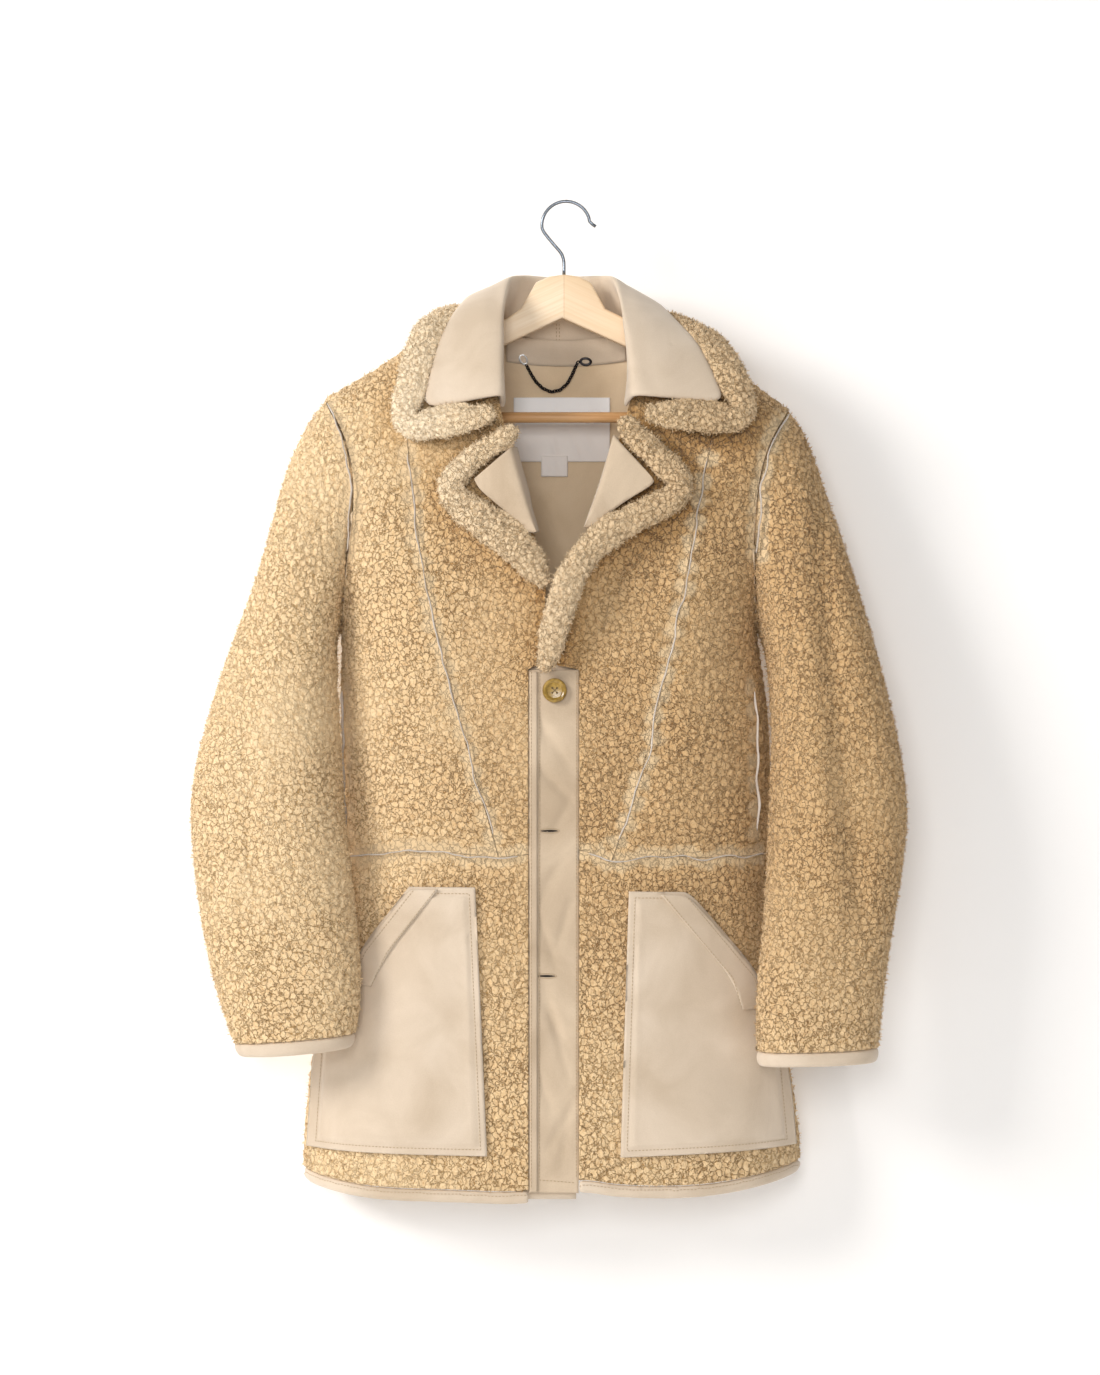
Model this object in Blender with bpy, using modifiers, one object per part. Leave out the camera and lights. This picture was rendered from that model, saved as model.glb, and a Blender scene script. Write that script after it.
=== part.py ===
"""A mid-length fleece (shearling) jacket hanging on a wooden hanger.

Metres, +Z up.  The origin is where a rail bears inside the top of the hanger's hook.
The jacket faces -Y, and +X is the wearer's left.  Node names say _left and _right as
the wearer would.  Tables and sizes are in millimetres and become metres in
`solid`.

The fleece side of the skin is outside and the suede side is inside, so every fleece
piece is one thick wall.  Its outer points follow the cut and its inner points lie one
wall thickness further in.  Pieces that meet at a seam share that seam's points and
stop SEAM short of it on each side.
"""

import math

import bpy
import numpy as np
from mathutils import Vector

MM = 0.001
SEAM = 0.2            # each piece stops this short of the seam line it shares
TOUCH = 0.35          # a piece that lies on another stands this far off it

# ---------------------------------------------------------------- driving sizes, mm
FLEECE = 7.0          # skin and pile together
SUEDE = 3.0           # suede patches and facings
LEAF = 5.0            # collar and lapel leaves, skin with clipped pile under it
WAIST_Z = -651.0      # waist seam at the centre front
PLACKET_TOP_Z, PLACKET_FOOT_Z = -467.0, -984.0
PLACKET_THICK = 5.5
POCKET_OFF, BAND_OFF, BAND_THICK = 1.9, 1.22, 1.2     # how far each one's back stands off what is under it
RIDGE_WIDE, RIDGE_HIGH, RIDGE_LIFT = 1.1, 2.2, 0.7      # half sizes of a raw seam edge
COLLAR_STEP, LAPEL_STEP = 1.8, 0.8        # how far over the body's edge each leaf starts
LABEL_THICK, LABEL_OFF = 0.8, 1.3        # a label's back stands this far off the suede
BUTTON_AT, BUTTON_RADIUS, BUTTON_THICK = (-11.4, -487.3), 12.0, 4.0
CHAIN_RADIUS, EYELET_WIRE = 1.6, 1.1
EYELET, EYELET_OFF = (5.2, 3.4), 2.1      # its half length and width, and how far it stands off
CREST = 2.5                              # how far a leaf's roll swells past its line
HEM_BAND = 13.0
CUFF_BAND = 15.0
BORDER_WIDE, BORDER_HIGH = 15.5, 7.5     # half sizes of the fleece borders
SIDE_EDGE_IN = {"right": 5.0, "left": 16.0}
SHOULDER_ROUND = 105.0                   # how far down the shoulder's roundness reaches
SIDE_ROUND = 1.7                         # width of a side's roundness, in depths of that face
CROWN = 0.12                             # how much shallower the sides are than the middle
RING = 20                                # points round a sleeve
HALF_RING = RING // 2

# The body from shoulder to hem: its middle, half width, and the Y of its front,
# of the side seams and of its back.
BODY = (
    ("z", "middle", "half", "front", "side", "back"),
    (-60.0, -6.0, 300.0, -30.0, 6.0, 44.0),
    (-195.0, -9.0, 282.0, -52.0, 2.0, 52.0),
    (-300.0, -14.0, 245.0, -60.0, 4.0, 58.0),
    (-430.0, -17.0, 208.0, -62.0, 10.0, 61.0),
    (-485.0, -13.0, 213.0, -60.5, 14.0, 61.0),
    (-560.0, -9.5, 215.5, -58.0, 20.0, 61.0),
    (-650.0, -9.5, 214.5, -52.0, 27.0, 61.0),
    (-760.0, -13.5, 222.0, -46.0, 35.0, 62.0),
    (-865.0, -16.0, 242.0, -42.0, 40.0, 63.0),
    (-940.0, -14.0, 251.0, -40.0, 41.0, 63.0),
    (-1010.0, -14.0, 252.0, -39.0, 41.0, 63.0),
)

# Height of the shoulder line over each distance from the middle, on either side.
SHOULDER = (
    ("out", "right", "left"),
    (0.0, -80.0, -82.0),
    (72.0, -103.0, -106.0),
    (110.0, -118.0, -124.0),
    (150.0, -139.0, -150.0),
    (185.0, -163.0, -179.0),
    (215.0, -181.0, -201.0),
    (245.0, -197.0, -219.0),
)

# The armhole seam from the shoulder point to the underarm: X on either side.
ARMHOLE_TOP = {"right": -197.0, "left": -208.0}
ARMHOLE_FOOT = -428.0
ARMHOLE = (
    ("share", "right", "left"),
    (0.0, -241.0, 223.0),
    (0.14, -222.0, 203.0),
    (0.34, -210.0, 190.0),
    (0.55, -212.0, 187.0),
    (0.75, -219.0, 186.5),
    (1.0, -225.0, 191.0),
)

# The princess seams from the waist to the shoulder line.
PRINCESS = (
    ("z", "right", "left"),
    (-642.0, -67.0, 44.0),
    (-585.0, -86.0, 71.0),
    (-508.0, -107.0, 88.0),
    (-405.0, -134.0, 112.0),
    (-299.0, -151.0, 131.0),
    (-235.0, -157.0, 144.0),
    (-150.0, -160.0, 152.0),
)

# The free edge of each front over the placket's top: first the edge that lies under the
# crossing lapel, then the roll line up to the shoulder.  Below, the placket's edges.
FRONT_EDGE = (
    ("z", "right", "left"),
    (-463.0, -29.0, -10.0),
    (-432.0, -20.0, -6.0),
    (-402.0, -14.0, 2.0),
    (-372.0, -18.0, 12.0),
    (-330.0, -33.0, 24.0),
    (-285.0, -45.0, 38.0),
    (-237.0, -58.0, 53.0),
    (-195.0, -68.0, 65.0),
    (-150.0, -72.0, 70.0),
    (-103.0, -72.0, 72.0),
)
PLACKET_EDGE = {"right": -37.0, "left": 12.5}

# The waist seam and the hem: height at each X.
WAIST = (
    ("x", "z"),
    (-230.0, -655.0), (-194.0, -651.0), (-164.0, -645.0), (-116.0, -647.0),
    (-71.0, -652.0), (-37.0, -649.0), (16.0, -645.0), (49.0, -658.0),
    (94.0, -649.0), (134.0, -653.0), (199.0, -652.0), (230.0, -655.0),
)
HEM = (
    ("x", "z"),
    (-270.0, -980.0), (-205.0, -991.0), (-120.0, -993.0), (-30.0, -993.0),
    (10.0, -984.0), (64.0, -990.0), (150.0, -988.0), (240.0, -972.0),
)

# Each sleeve from the armhole to the cuff: outer and inner edge of the outline, how far
# the front bulges towards the body, the Y of its middle and its half depth.
SLEEVE_RIGHT = (
    ("outer_x", "outer_z", "inner_x", "inner_z", "bulge", "middle_y", "deep"),
    (-268.0, -236.0, -231.0, -441.0, 17.0, -1.0, 49.0),
    (-285.0, -287.0, -229.0, -456.0, 10.0, -6.0, 50.0),
    (-299.0, -340.0, -227.0, -476.0, 5.0, -11.0, 50.0),
    (-316.0, -395.0, -225.0, -504.0, 2.0, -17.0, 50.0),
    (-337.0, -452.0, -223.0, -536.0, 0.0, -23.0, 49.0),
    (-356.0, -515.0, -221.0, -572.0, 0.0, -28.0, 48.0),
    (-372.0, -580.0, -219.0, -615.0, 0.0, -32.0, 47.0),
    (-371.0, -640.0, -212.0, -662.0, 0.0, -36.0, 45.0),
    (-361.0, -712.0, -206.0, -724.0, 0.0, -42.0, 42.0),
    (-348.0, -775.0, -201.0, -779.0, 0.0, -47.0, 39.0),
    (-328.0, -834.0, -207.0, -824.0, 0.0, -49.0, 35.0),
)
SLEEVE_LEFT = (
    ("outer_x", "outer_z", "inner_x", "inner_z", "bulge", "middle_y", "deep"),
    (243.0, -236.0, 198.0, -444.0, -12.0, -1.0, 49.0),
    (258.0, -284.0, 200.0, -460.0, -8.0, -6.0, 50.0),
    (276.0, -338.0, 202.0, -480.0, -4.0, -11.0, 50.0),
    (292.0, -392.0, 203.0, -508.0, -2.0, -17.0, 49.0),
    (309.0, -450.0, 203.0, -538.0, 0.0, -23.0, 48.0),
    (324.0, -512.0, 202.0, -572.0, 0.0, -28.0, 47.0),
    (338.0, -585.0, 200.0, -615.0, 0.0, -32.0, 46.0),
    (336.0, -642.0, 198.0, -660.0, 0.0, -36.0, 44.0),
    (324.0, -712.0, 194.0, -722.0, 0.0, -42.0, 41.0),
    (314.0, -775.0, 187.0, -781.0, 0.0, -47.0, 38.0),
    (308.0, -838.0, 187.0, -842.0, 0.0, -49.0, 34.0),
)
SLEEVE_STEPS = 15
TOP_SLEEVE_FROM, TOP_SLEEVE_TO = -1, 10      # ring points where the two sleeve pieces meet

# Large soft folds: a line from top to foot in front view, its half width, and how far
# it stands out (+) or sinks in (-).
FRONT_FOLDS = (
    ("top_x", "top_z", "foot_x", "foot_z", "wide", "out"),
    (-185.0, -250.0, -150.0, -560.0, 26.0, 4.0),
    (-112.0, -330.0, -60.0, -600.0, 24.0, -4.0),
    (60.0, -330.0, 20.0, -470.0, 26.0, -7.0),
    (150.0, -300.0, 110.0, -620.0, 26.0, 4.5),
    (70.0, -480.0, 40.0, -640.0, 22.0, -3.0),
    (-195.0, -700.0, -210.0, -960.0, 40.0, 2.5),
    (-110.0, -700.0, -130.0, -970.0, 42.0, -2.5),
    (45.0, -690.0, 60.0, -975.0, 40.0, 3.0),
    (140.0, -690.0, 165.0, -960.0, 42.0, -2.5),
)
BACK_FOLDS = (
    ("top_x", "top_z", "foot_x", "foot_z", "wide", "out"),
    (-150.0, -230.0, -120.0, -560.0, 30.0, -5.0),
    (125.0, -230.0, 105.0, -600.0, 32.0, -5.0),
    (-40.0, -420.0, -60.0, -800.0, 34.0, -4.0),
    (40.0, -560.0, 70.0, -960.0, 34.0, -5.0),
    (-160.0, -640.0, -180.0, -965.0, 30.0, -5.0),
)
# On a sleeve: the direction round it (0 outer edge, 90 front), its spread, the share of
# the length where it starts and ends, and how far it stands out (+) or sinks in (-).
SLEEVE_FOLDS = (
    ("on", "angle", "spread", "start", "end", "out"),
    ("right", 40.0, 20.0, 0.12, 0.80, -4.5),
    ("left", 76.0, 17.0, 0.04, 0.96, -7.5),
    ("both", 110.0, 26.0, 0.35, 0.90, 4.0),
    ("both", 150.0, 18.0, 0.30, 0.62, -4.0),
    ("both", 230.0, 24.0, 0.20, 0.75, -5.0),
    ("both", 300.0, 24.0, 0.45, 0.95, 4.0),
)

# The collar, station by station from the wearer's right front tip round the back to the
# left tip: where the roll and the leaf's outer edge lie.
COLLAR = (
    ("roll_x", "roll_y", "roll_z", "edge_x", "edge_y", "edge_z"),
    (-61.0, -79.0, -199.0, -142.0, -67.0, -212.0),
    (-61.0, -72.0, -161.0, -134.0, -60.0, -168.0),
    (-60.0, -56.0, -121.0, -121.0, -44.0, -128.0),
    (-58.0, -33.0, -93.0, -105.0, -20.0, -101.0),
    (-53.0, -4.0, -74.0, -95.0, 12.0, -92.0),
    (-42.0, 20.0, -67.0, -74.0, 49.0, -116.0),
    (-24.0, 32.0, -65.0, -40.0, 64.0, -138.0),
    (-5.0, 36.0, -65.0, -5.0, 66.0, -142.0),
    (16.0, 32.0, -65.0, 32.0, 64.0, -138.0),
    (34.0, 20.0, -67.0, 68.0, 49.0, -118.0),
    (45.0, -4.0, -74.0, 90.0, 12.0, -97.0),
    (50.0, -33.0, -93.0, 110.0, -20.0, -118.0),
    (54.0, -56.0, -121.0, 130.0, -44.0, -142.0),
    (61.0, -72.0, -161.0, 145.0, -60.0, -172.0),
    (64.0, -79.0, -199.0, 157.0, -67.0, -206.0),
)
COLLAR_STEPS = 28
BORDER_STEPS = 46
COLLAR_FOOT_Z = -208.0        # where the collar's seam ends on each front
BACK_NECK_Z = -143.0          # the neck seam at the centre back

# The lapels from notch to foot: roll line and edge of the suede, and how far both stand
# off the front.  The fleece border runs outside that edge.
LAPEL_RIGHT = (
    ("roll_x", "roll_z", "roll_off", "edge_x", "edge_z", "edge_off"),
    (-53.0, -250.0, 17.0, -90.0, -281.0, 13.0),
    (-46.0, -275.0, 17.0, -84.0, -292.0, 13.0),
    (-38.0, -303.0, 16.0, -64.0, -309.0, 13.0),
    (-28.0, -333.0, 14.0, -37.5, -334.0, 12.0),
)
LAPEL_LEFT = (
    ("roll_x", "roll_z", "roll_off", "edge_x", "edge_z", "edge_off"),
    (46.0, -239.0, 17.0, 86.0, -282.0, 15.0),
    (37.0, -268.0, 18.0, 81.0, -289.0, 16.0),
    (28.0, -298.0, 18.0, 55.0, -305.0, 18.0),
    (16.0, -329.0, 19.0, 24.0, -329.0, 19.0),
)
# Centre lines of the fleece borders on the lapels, with their half width and how far
# their middle stands off the front.
BORDER_RIGHT = (
    ("x", "z", "wide", "off"),
    (-49.0, -232.0, 8.0, 17.0),
    (-61.0, -241.0, 10.5, 15.0),
    (-83.0, -255.0, 11.0, 13.0),
    (-101.0, -270.0, 13.0, 11.0),
    (-114.0, -288.0, 14.0, 10.5),
    (-103.0, -306.0, 15.5, 10.5),
    (-83.0, -320.0, 18.5, 11.0),
    (-59.0, -339.0, 18.5, 11.0),
    (-36.0, -360.0, 16.5, 10.0),
    (-21.0, -384.0, 12.0, 8.5),
)
BORDER_LEFT = (
    ("x", "z", "wide", "off"),
    (53.0, -225.0, 7.0, 18.0),
    (61.0, -232.0, 11.5, 17.0),
    (79.0, -250.0, 13.5, 16.0),
    (98.0, -268.0, 14.0, 15.0),
    (113.0, -287.0, 14.0, 14.5),
    (98.0, -303.0, 14.5, 15.0),
    (62.0, -322.0, 15.0, 18.0),
    (30.0, -343.0, 15.0, 22.0),
    (9.0, -368.0, 15.0, 26.5),
    (-4.0, -400.0, 15.5, 24.5),
    (-14.0, -432.0, 14.5, 17.0),
    (-21.0, -456.0, 12.5, 10.5),
)

# The pockets' outlines in front view, and the line of the slanted facing band.
POCKET_RIGHT = ((-154.0, -681.0), (-89.5, -681.0), (-78.0, -947.0), (-257.0, -944.0),
                (-250.0, -842.0), (-203.0, -744.0))
POCKET_LEFT = ((121.0, -686.0), (61.5, -685.0), (53.5, -948.0), (228.0, -942.0),
               (221.0, -864.0), (191.0, -770.0))

# The hanging chain's line inside the back, and how far it stands off the suede.
CHAIN = (
    ("x", "z", "off"),
    (-40.2, -156.9, 2.6), (-37.0, -163.0, 3.0), (-31.0, -173.0, 4.2), (-23.0, -181.0, 3.6),
    (-14.5, -184.5, 3.4), (-4.0, -181.5, 3.6), (3.5, -173.0, 4.2), (8.5, -162.0, 3.0),
    (12.4, -154.2, 2.6),
)[1:]

# The hanger: its head, the slope of its underside, its arms' ends and its bar.
HEAD = ((-30.0, -80.0), (-17.0, -74.0), (-2.0, -72.0), (13.0, -74.0), (25.0, -80.0))
HEAD_SHOULDERS = ((-45.0, -106.0), (39.0, -106.0))
HEAD_FOOT = (60.0, -116.5)
HEAD_APEX = (-4.0, -115.5)
HANGER_SLOPE = 0.457
HANGER_END = 212.0
HANGER_THICK = 12.0
ARM_SUNK = 4.1                           # an arm's top lies this far under the inside
WOOD_ROUND = 2.5
BAR_RADIUS, BAR_Z, BAR_REACH = 5.5, -214.5, 184.0
WIRE_RADIUS = 1.65
HOOK_RADIUS = 24.2


# ---------------------------------------------------------------- tables and curves
def smooth(table, by, want, at):
    """The column `want` of a table where the column `by` is `at`, on a smooth curve."""
    names = table[0]
    rows = np.array(table[1:], dtype=float)
    key, value = rows[:, names.index(by)], rows[:, names.index(want)]
    if key[0] > key[-1]:
        key, value = key[::-1], value[::-1]
    slope = np.gradient(value, key)
    at = np.clip(at, key[0], key[-1])
    cell = np.clip(np.searchsorted(key, at, side="right") - 1, 0, len(key) - 2)
    width = key[cell + 1] - key[cell]
    t = (at - key[cell]) / width
    return ((2 * t**3 - 3 * t**2 + 1) * value[cell] + (t**3 - 2 * t**2 + t) * width * slope[cell]
            + (3 * t**2 - 2 * t**3) * value[cell + 1] + (t**3 - t**2) * width * slope[cell + 1])


def along(points, count, rounded=True):
    """`count` points at equal steps along a smooth curve, or a polyline, through points."""
    points = np.array(points, dtype=float)
    if rounded:
        points = np.array([catmull(points, s) for s in np.linspace(0, len(points) - 1, 12 * len(points))])
    lengths = np.concatenate([[0.0], np.cumsum(np.linalg.norm(np.diff(points, axis=0), axis=1))])
    wanted = np.linspace(0, lengths[-1], count)
    return np.column_stack([np.interp(wanted, lengths, points[:, k]) for k in range(points.shape[1])])


def catmull(points, s):
    """The point at index s, whole or between, of a smooth curve through rows of points."""
    last = len(points) - 1
    i = min(int(s), last - 1)
    t = s - i
    p1, p2 = points[i], points[i + 1]
    p0 = points[i - 1] if i else 2 * p1 - p2
    p3 = points[i + 2] if i + 2 <= last else 2 * p2 - p1
    return 0.5 * (2 * p1 + (p2 - p0) * t + (2 * p0 - 5 * p1 + 4 * p2 - p3) * t**2
                  + (3 * p1 - p0 - 3 * p2 + p3) * t**3)


def unit(vectors):
    length = np.linalg.norm(vectors, axis=-1, keepdims=True)
    return vectors / np.maximum(length, 1e-9)


# ---------------------------------------------------------------- the body's surface
def shoulder_z(x):
    """Height of the shoulder line over x."""
    out = abs(x)
    return float(smooth(SHOULDER, "out", "right" if x < 0 else "left", out))


def power(base, exponent):
    """A power that keeps the sign of its base, so the surface goes on past its edges."""
    return math.copysign(abs(base) ** exponent, base)


def rounded(distance, width):
    """The share of full depth at a distance in from an edge that rounds over a width."""
    share = min(distance / width, 1.0)
    return power(1 - (1 - share) ** 2.2, 1 / 2.2) if share < 1 else 1.0


def depth_share(x, z, reach):
    """How much of its depth `reach` a face has at (x, z): 0 at its sides and shoulders."""
    half = float(smooth(BODY, "z", "half", z))
    out = abs(x - float(smooth(BODY, "z", "middle", z)))
    crown = 1 - CROWN * min(out / half, 1.0) ** 2
    return crown * rounded(half - out, SIDE_ROUND * abs(reach)) * rounded(shoulder_z(x) - z, SHOULDER_ROUND)


def fold(x, z, folds):
    """How far the folds stand out at (x, z)."""
    total = 0.0
    for top_x, top_z, foot_x, foot_z, wide, out in folds[1:]:
        share = (top_z - z) / (top_z - foot_z)
        if 0 < share < 1:
            off = (x - (top_x + (foot_x - top_x) * share)) / wide
            total += out * math.exp(-off * off) * math.sin(math.pi * share) ** 0.8
    return total


def body_y(x, z, face):
    """Y of the outer surface at (x, z), on the front (-1) or the back (+1)."""
    side = float(smooth(BODY, "z", "side", z))
    reach = float(smooth(BODY, "z", "front" if face < 0 else "back", z)) - side
    share = max(depth_share(x, z, reach), 0.0)
    folds = fold(x, z, FRONT_FOLDS if face < 0 else BACK_FOLDS)
    return side + reach * share + face * (folds * min(1.0, 2 * share) + SEAM)


def body_normal(x, y, z, face):
    """The outward direction there: the gradient of (y share)^2 - (depth share)^2."""
    def level(px, py, pz):
        side = float(smooth(BODY, "z", "side", pz))
        reach = float(smooth(BODY, "z", "front" if face < 0 else "back", pz)) - side
        share = depth_share(px, pz, reach)
        return ((py - side) / reach) ** 2 - share * abs(share)
    step = 0.4
    return unit(np.array([level(x + step, y, z) - level(x - step, y, z),
                          level(x, y + step, z) - level(x, y - step, z),
                          level(x, y, z + step) - level(x, y, z - step)]))


def on_body(flat, face, off=0.0):
    """Points and normals on the body for rows of (x, z), moved `off` outwards."""
    flat = np.asarray(flat, dtype=float)
    points, normals = np.zeros(flat.shape[:-1] + (3,)), np.zeros(flat.shape[:-1] + (3,))
    for index in np.ndindex(flat.shape[:-1]):
        x, z = flat[index]
        y = body_y(x, z, face)
        normals[index] = body_normal(x, y, z, face)
        points[index] = np.array([x, y, z]) + off * normals[index]
    return points, normals


# ---------------------------------------------------------------- making solids
def material(name, colour, roughness, metallic=0.0):
    made = bpy.data.materials.get(name) or bpy.data.materials.new(name)
    made.use_nodes = True
    shader = made.node_tree.nodes["Principled BSDF"]
    shader.inputs["Base Color"].default_value = (*colour, 1.0)
    shader.inputs["Roughness"].default_value = roughness
    shader.inputs["Metallic"].default_value = metallic
    return made


def solid(name, points, faces, finish):
    """A named object from points in millimetres."""
    mesh = bpy.data.meshes.new(name)
    mesh.from_pydata([tuple(p) for p in np.asarray(points, dtype=float) * MM], [], faces)
    mesh.validate()
    mesh.update()
    made = bpy.data.objects.new(name, mesh)
    mesh.materials.append(finish)
    jacket.objects.link(made)
    mesh.shade_smooth()
    mesh.set_sharp_from_angle(angle=math.radians(50))
    return made


def wall(name, outer, inner, finish):
    """A closed wall between two grids of points, outer and inner."""
    rows, columns = outer.shape[:2]
    points = np.concatenate([outer.reshape(-1, 3), inner.reshape(-1, 3)])
    shift = rows * columns
    faces = []
    for i in range(rows - 1):
        for j in range(columns - 1):
            a, b = i * columns + j, i * columns + j + 1
            c, d = b + columns, a + columns
            faces += [(a, b, c, d), (shift + d, shift + c, shift + b, shift + a)]
    rim = ([(0, j) for j in range(columns)] + [(i, columns - 1) for i in range(1, rows)]
           + [(rows - 1, j) for j in range(columns - 2, -1, -1)] + [(i, 0) for i in range(rows - 2, 0, -1)])
    edge = [i * columns + j for i, j in rim]
    for k, a in enumerate(edge):
        b = edge[(k + 1) % len(edge)]
        # Both walls at a seam split their facing quads along the same diagonal.
        step = points[b] - points[a]
        if (step[2] if abs(step[2]) > abs(step[0]) else step[0]) > 0:
            faces += [(a, shift + a, b), (b, shift + a, shift + b)]
        else:
            faces += [(a, shift + a, shift + b), (a, shift + b, b)]
    return facing_out(solid(name, points, faces, finish))


def facing_out(made):
    """Turns a solid's faces over where they enclose a negative volume."""
    mesh = made.data
    volume = 0.0
    for face in mesh.polygons:
        corners = [mesh.vertices[i].co for i in face.vertices]
        for k in range(1, len(corners) - 1):
            volume += corners[0].dot(corners[k].cross(corners[k + 1]))
    if volume < 0:
        mesh.flip_normals()
    return made


def sweep(name, centres, side, up, section, finish, closed=False):
    """A solid of one section (pairs along side and up, one list a station) on a path."""
    count, around = len(centres), len(section[0])
    points = []
    for k in range(count):
        points += [centres[k] + s * side[k] + u * up[k] for s, u in section[k]]
    faces = []
    for k in range(count if closed else count - 1):
        a, b = k * around, ((k + 1) % count) * around
        for j in range(around):
            n = (j + 1) % around
            faces.append((a + j, a + n, b + n, b + j))
    if not closed:
        faces.append(tuple(range(around - 1, -1, -1)))
        faces.append(tuple((count - 1) * around + j for j in range(around)))
    return facing_out(solid(name, points, faces, finish))


def oval(wide, high, corners):
    return [(wide * math.cos(2 * math.pi * j / corners), high * math.sin(2 * math.pi * j / corners))
            for j in range(corners)]


def along_path(points, normals):
    """Side directions of a path: square to it and to its normals."""
    return unit(np.cross(np.gradient(points, axis=0), normals))


def wire(name, points, radius, finish, corners=8):
    """A round wire with closed ends along points in millimetres."""
    curve = bpy.data.curves.new(name, "CURVE")
    curve.dimensions = "3D"
    curve.bevel_depth = radius * MM
    curve.bevel_resolution = max(corners // 4 - 1, 0) + 1
    curve.use_fill_caps = True
    spline = curve.splines.new("POLY")
    spline.points.add(len(points) - 1)
    for knot, point in zip(spline.points, points):
        knot.co = (*[float(c) * MM for c in point], 1.0)
    curve.materials.append(finish)
    made = bpy.data.objects.new(name, curve)
    jacket.objects.link(made)
    return made


# ---------------------------------------------------------------- body panels
def patch(left, right, foot, top):
    """A grid of (x, z) inside four edges, each a row of points that meet at the corners."""
    rows, columns = len(left), len(foot)
    grid = np.zeros((rows, columns, 2))
    for i in range(rows):
        b = i / (rows - 1)
        for j in range(columns):
            a = j / (columns - 1)
            corners = ((1 - a) * (1 - b) * foot[0] + a * (1 - b) * foot[-1]
                       + (1 - a) * b * top[0] + a * b * top[-1])
            grid[i, j] = (1 - a) * left[i] + a * right[i] + (1 - b) * foot[j] + b * top[j] - corners
    return grid


def panel(name, grid, face, thick, finish, trim=(SEAM, SEAM, SEAM, SEAM), off=0.0):
    """A wall on the body over a grid of (x, z), `off` outwards, with its left, right,
    foot and top edges drawn in."""
    outer, normals = on_body(grid, face, off)
    left, right, foot, top = trim
    outer[:, 0, 0] += left
    outer[:, -1, 0] -= right
    outer[0, :, 2] += foot
    outer[-1, :, 2] -= top
    wall(name, outer, outer - thick * normals, finish)
    return outer, normals


def arm_shares():
    """Shares of the armhole's height at which sleeve and body share points."""
    return [(1 - math.cos(math.pi * j / HALF_RING)) / 2 for j in range(HALF_RING + 1)]


def armhole(side):
    """Points (x, z) of the armhole seam from the underarm up to the shoulder point."""
    top = ARMHOLE_TOP[side]
    points = []
    for share in reversed(arm_shares()):
        x = float(smooth(ARMHOLE, "share", side, share))
        z = top + (ARMHOLE_FOOT - top) * share
        points.append((x, z))
    points[-1] = (points[-1][0], shoulder_z(points[-1][0]))
    foot_x = side_x(side, ARMHOLE_FOOT)
    points[0] = (foot_x, ARMHOLE_FOOT)
    return np.array(points)


def side_x(side, z):
    """X of the side seam at a height."""
    sign = -1 if side == "right" else 1
    return float(smooth(BODY, "z", "middle", z) + sign * smooth(BODY, "z", "half", z))


def side_seam(side, low, high, count):
    return np.array([(side_x(side, z), z) for z in np.linspace(low, high, count)])


def waist_z(x):
    return float(smooth(WAIST, "x", "z", x))


def hem_z(x):
    return float(smooth(HEM, "x", "z", x)) + HEM_BAND


def line_z(height, x_from, x_to, count, ease=0.0):
    """Points (x, height(x)) from one x to another, closer together near the second
    (ease > 0) or the first (ease < 0)."""
    t = np.linspace(0, 1, count)
    if ease > 0:
        t = 1 - (1 - t) ** (1 + ease)
    elif ease < 0:
        t = t ** (1 - ease)
    return np.array([(x, height(x)) for x in x_from + (x_to - x_from) * t])


def princess(side, low, count):
    """The princess seam from the waist to the shoulder line, closer points at the top."""
    top_x = float(smooth(PRINCESS, "z", side, -150.0))
    top = shoulder_z(top_x)
    t = 1 - (1 - np.linspace(0, 1, count)) ** 1.5
    heights = low + (top - low) * t
    return np.array([(float(smooth(PRINCESS, "z", side, z)), z) for z in heights])


def edge_x(side, z):
    """X of a front's free edge at a height."""
    return PLACKET_EDGE[side] if z <= PLACKET_TOP_Z else float(smooth(FRONT_EDGE, "z", side, z))


def front_edge(side, low, count):
    """The free edge of a front from the waist to the shoulder line, with one row at the
    placket's top and the next just over it."""
    top = shoulder_z(edge_x(side, -103.0))
    t = 1 - (1 - np.linspace(0, 1, count)) ** 1.5
    heights = low + (top - low) * t
    corner = int(np.argmin(np.abs(heights - PLACKET_TOP_Z)))
    heights[corner], heights[corner + 1] = PLACKET_TOP_Z, PLACKET_TOP_Z + 4.5
    return np.array([(edge_x(side, z), z) for z in heights])


UNDERARM_ROWS = 4
FRONT_ROWS = HALF_RING + 1 + UNDERARM_ROWS


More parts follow.
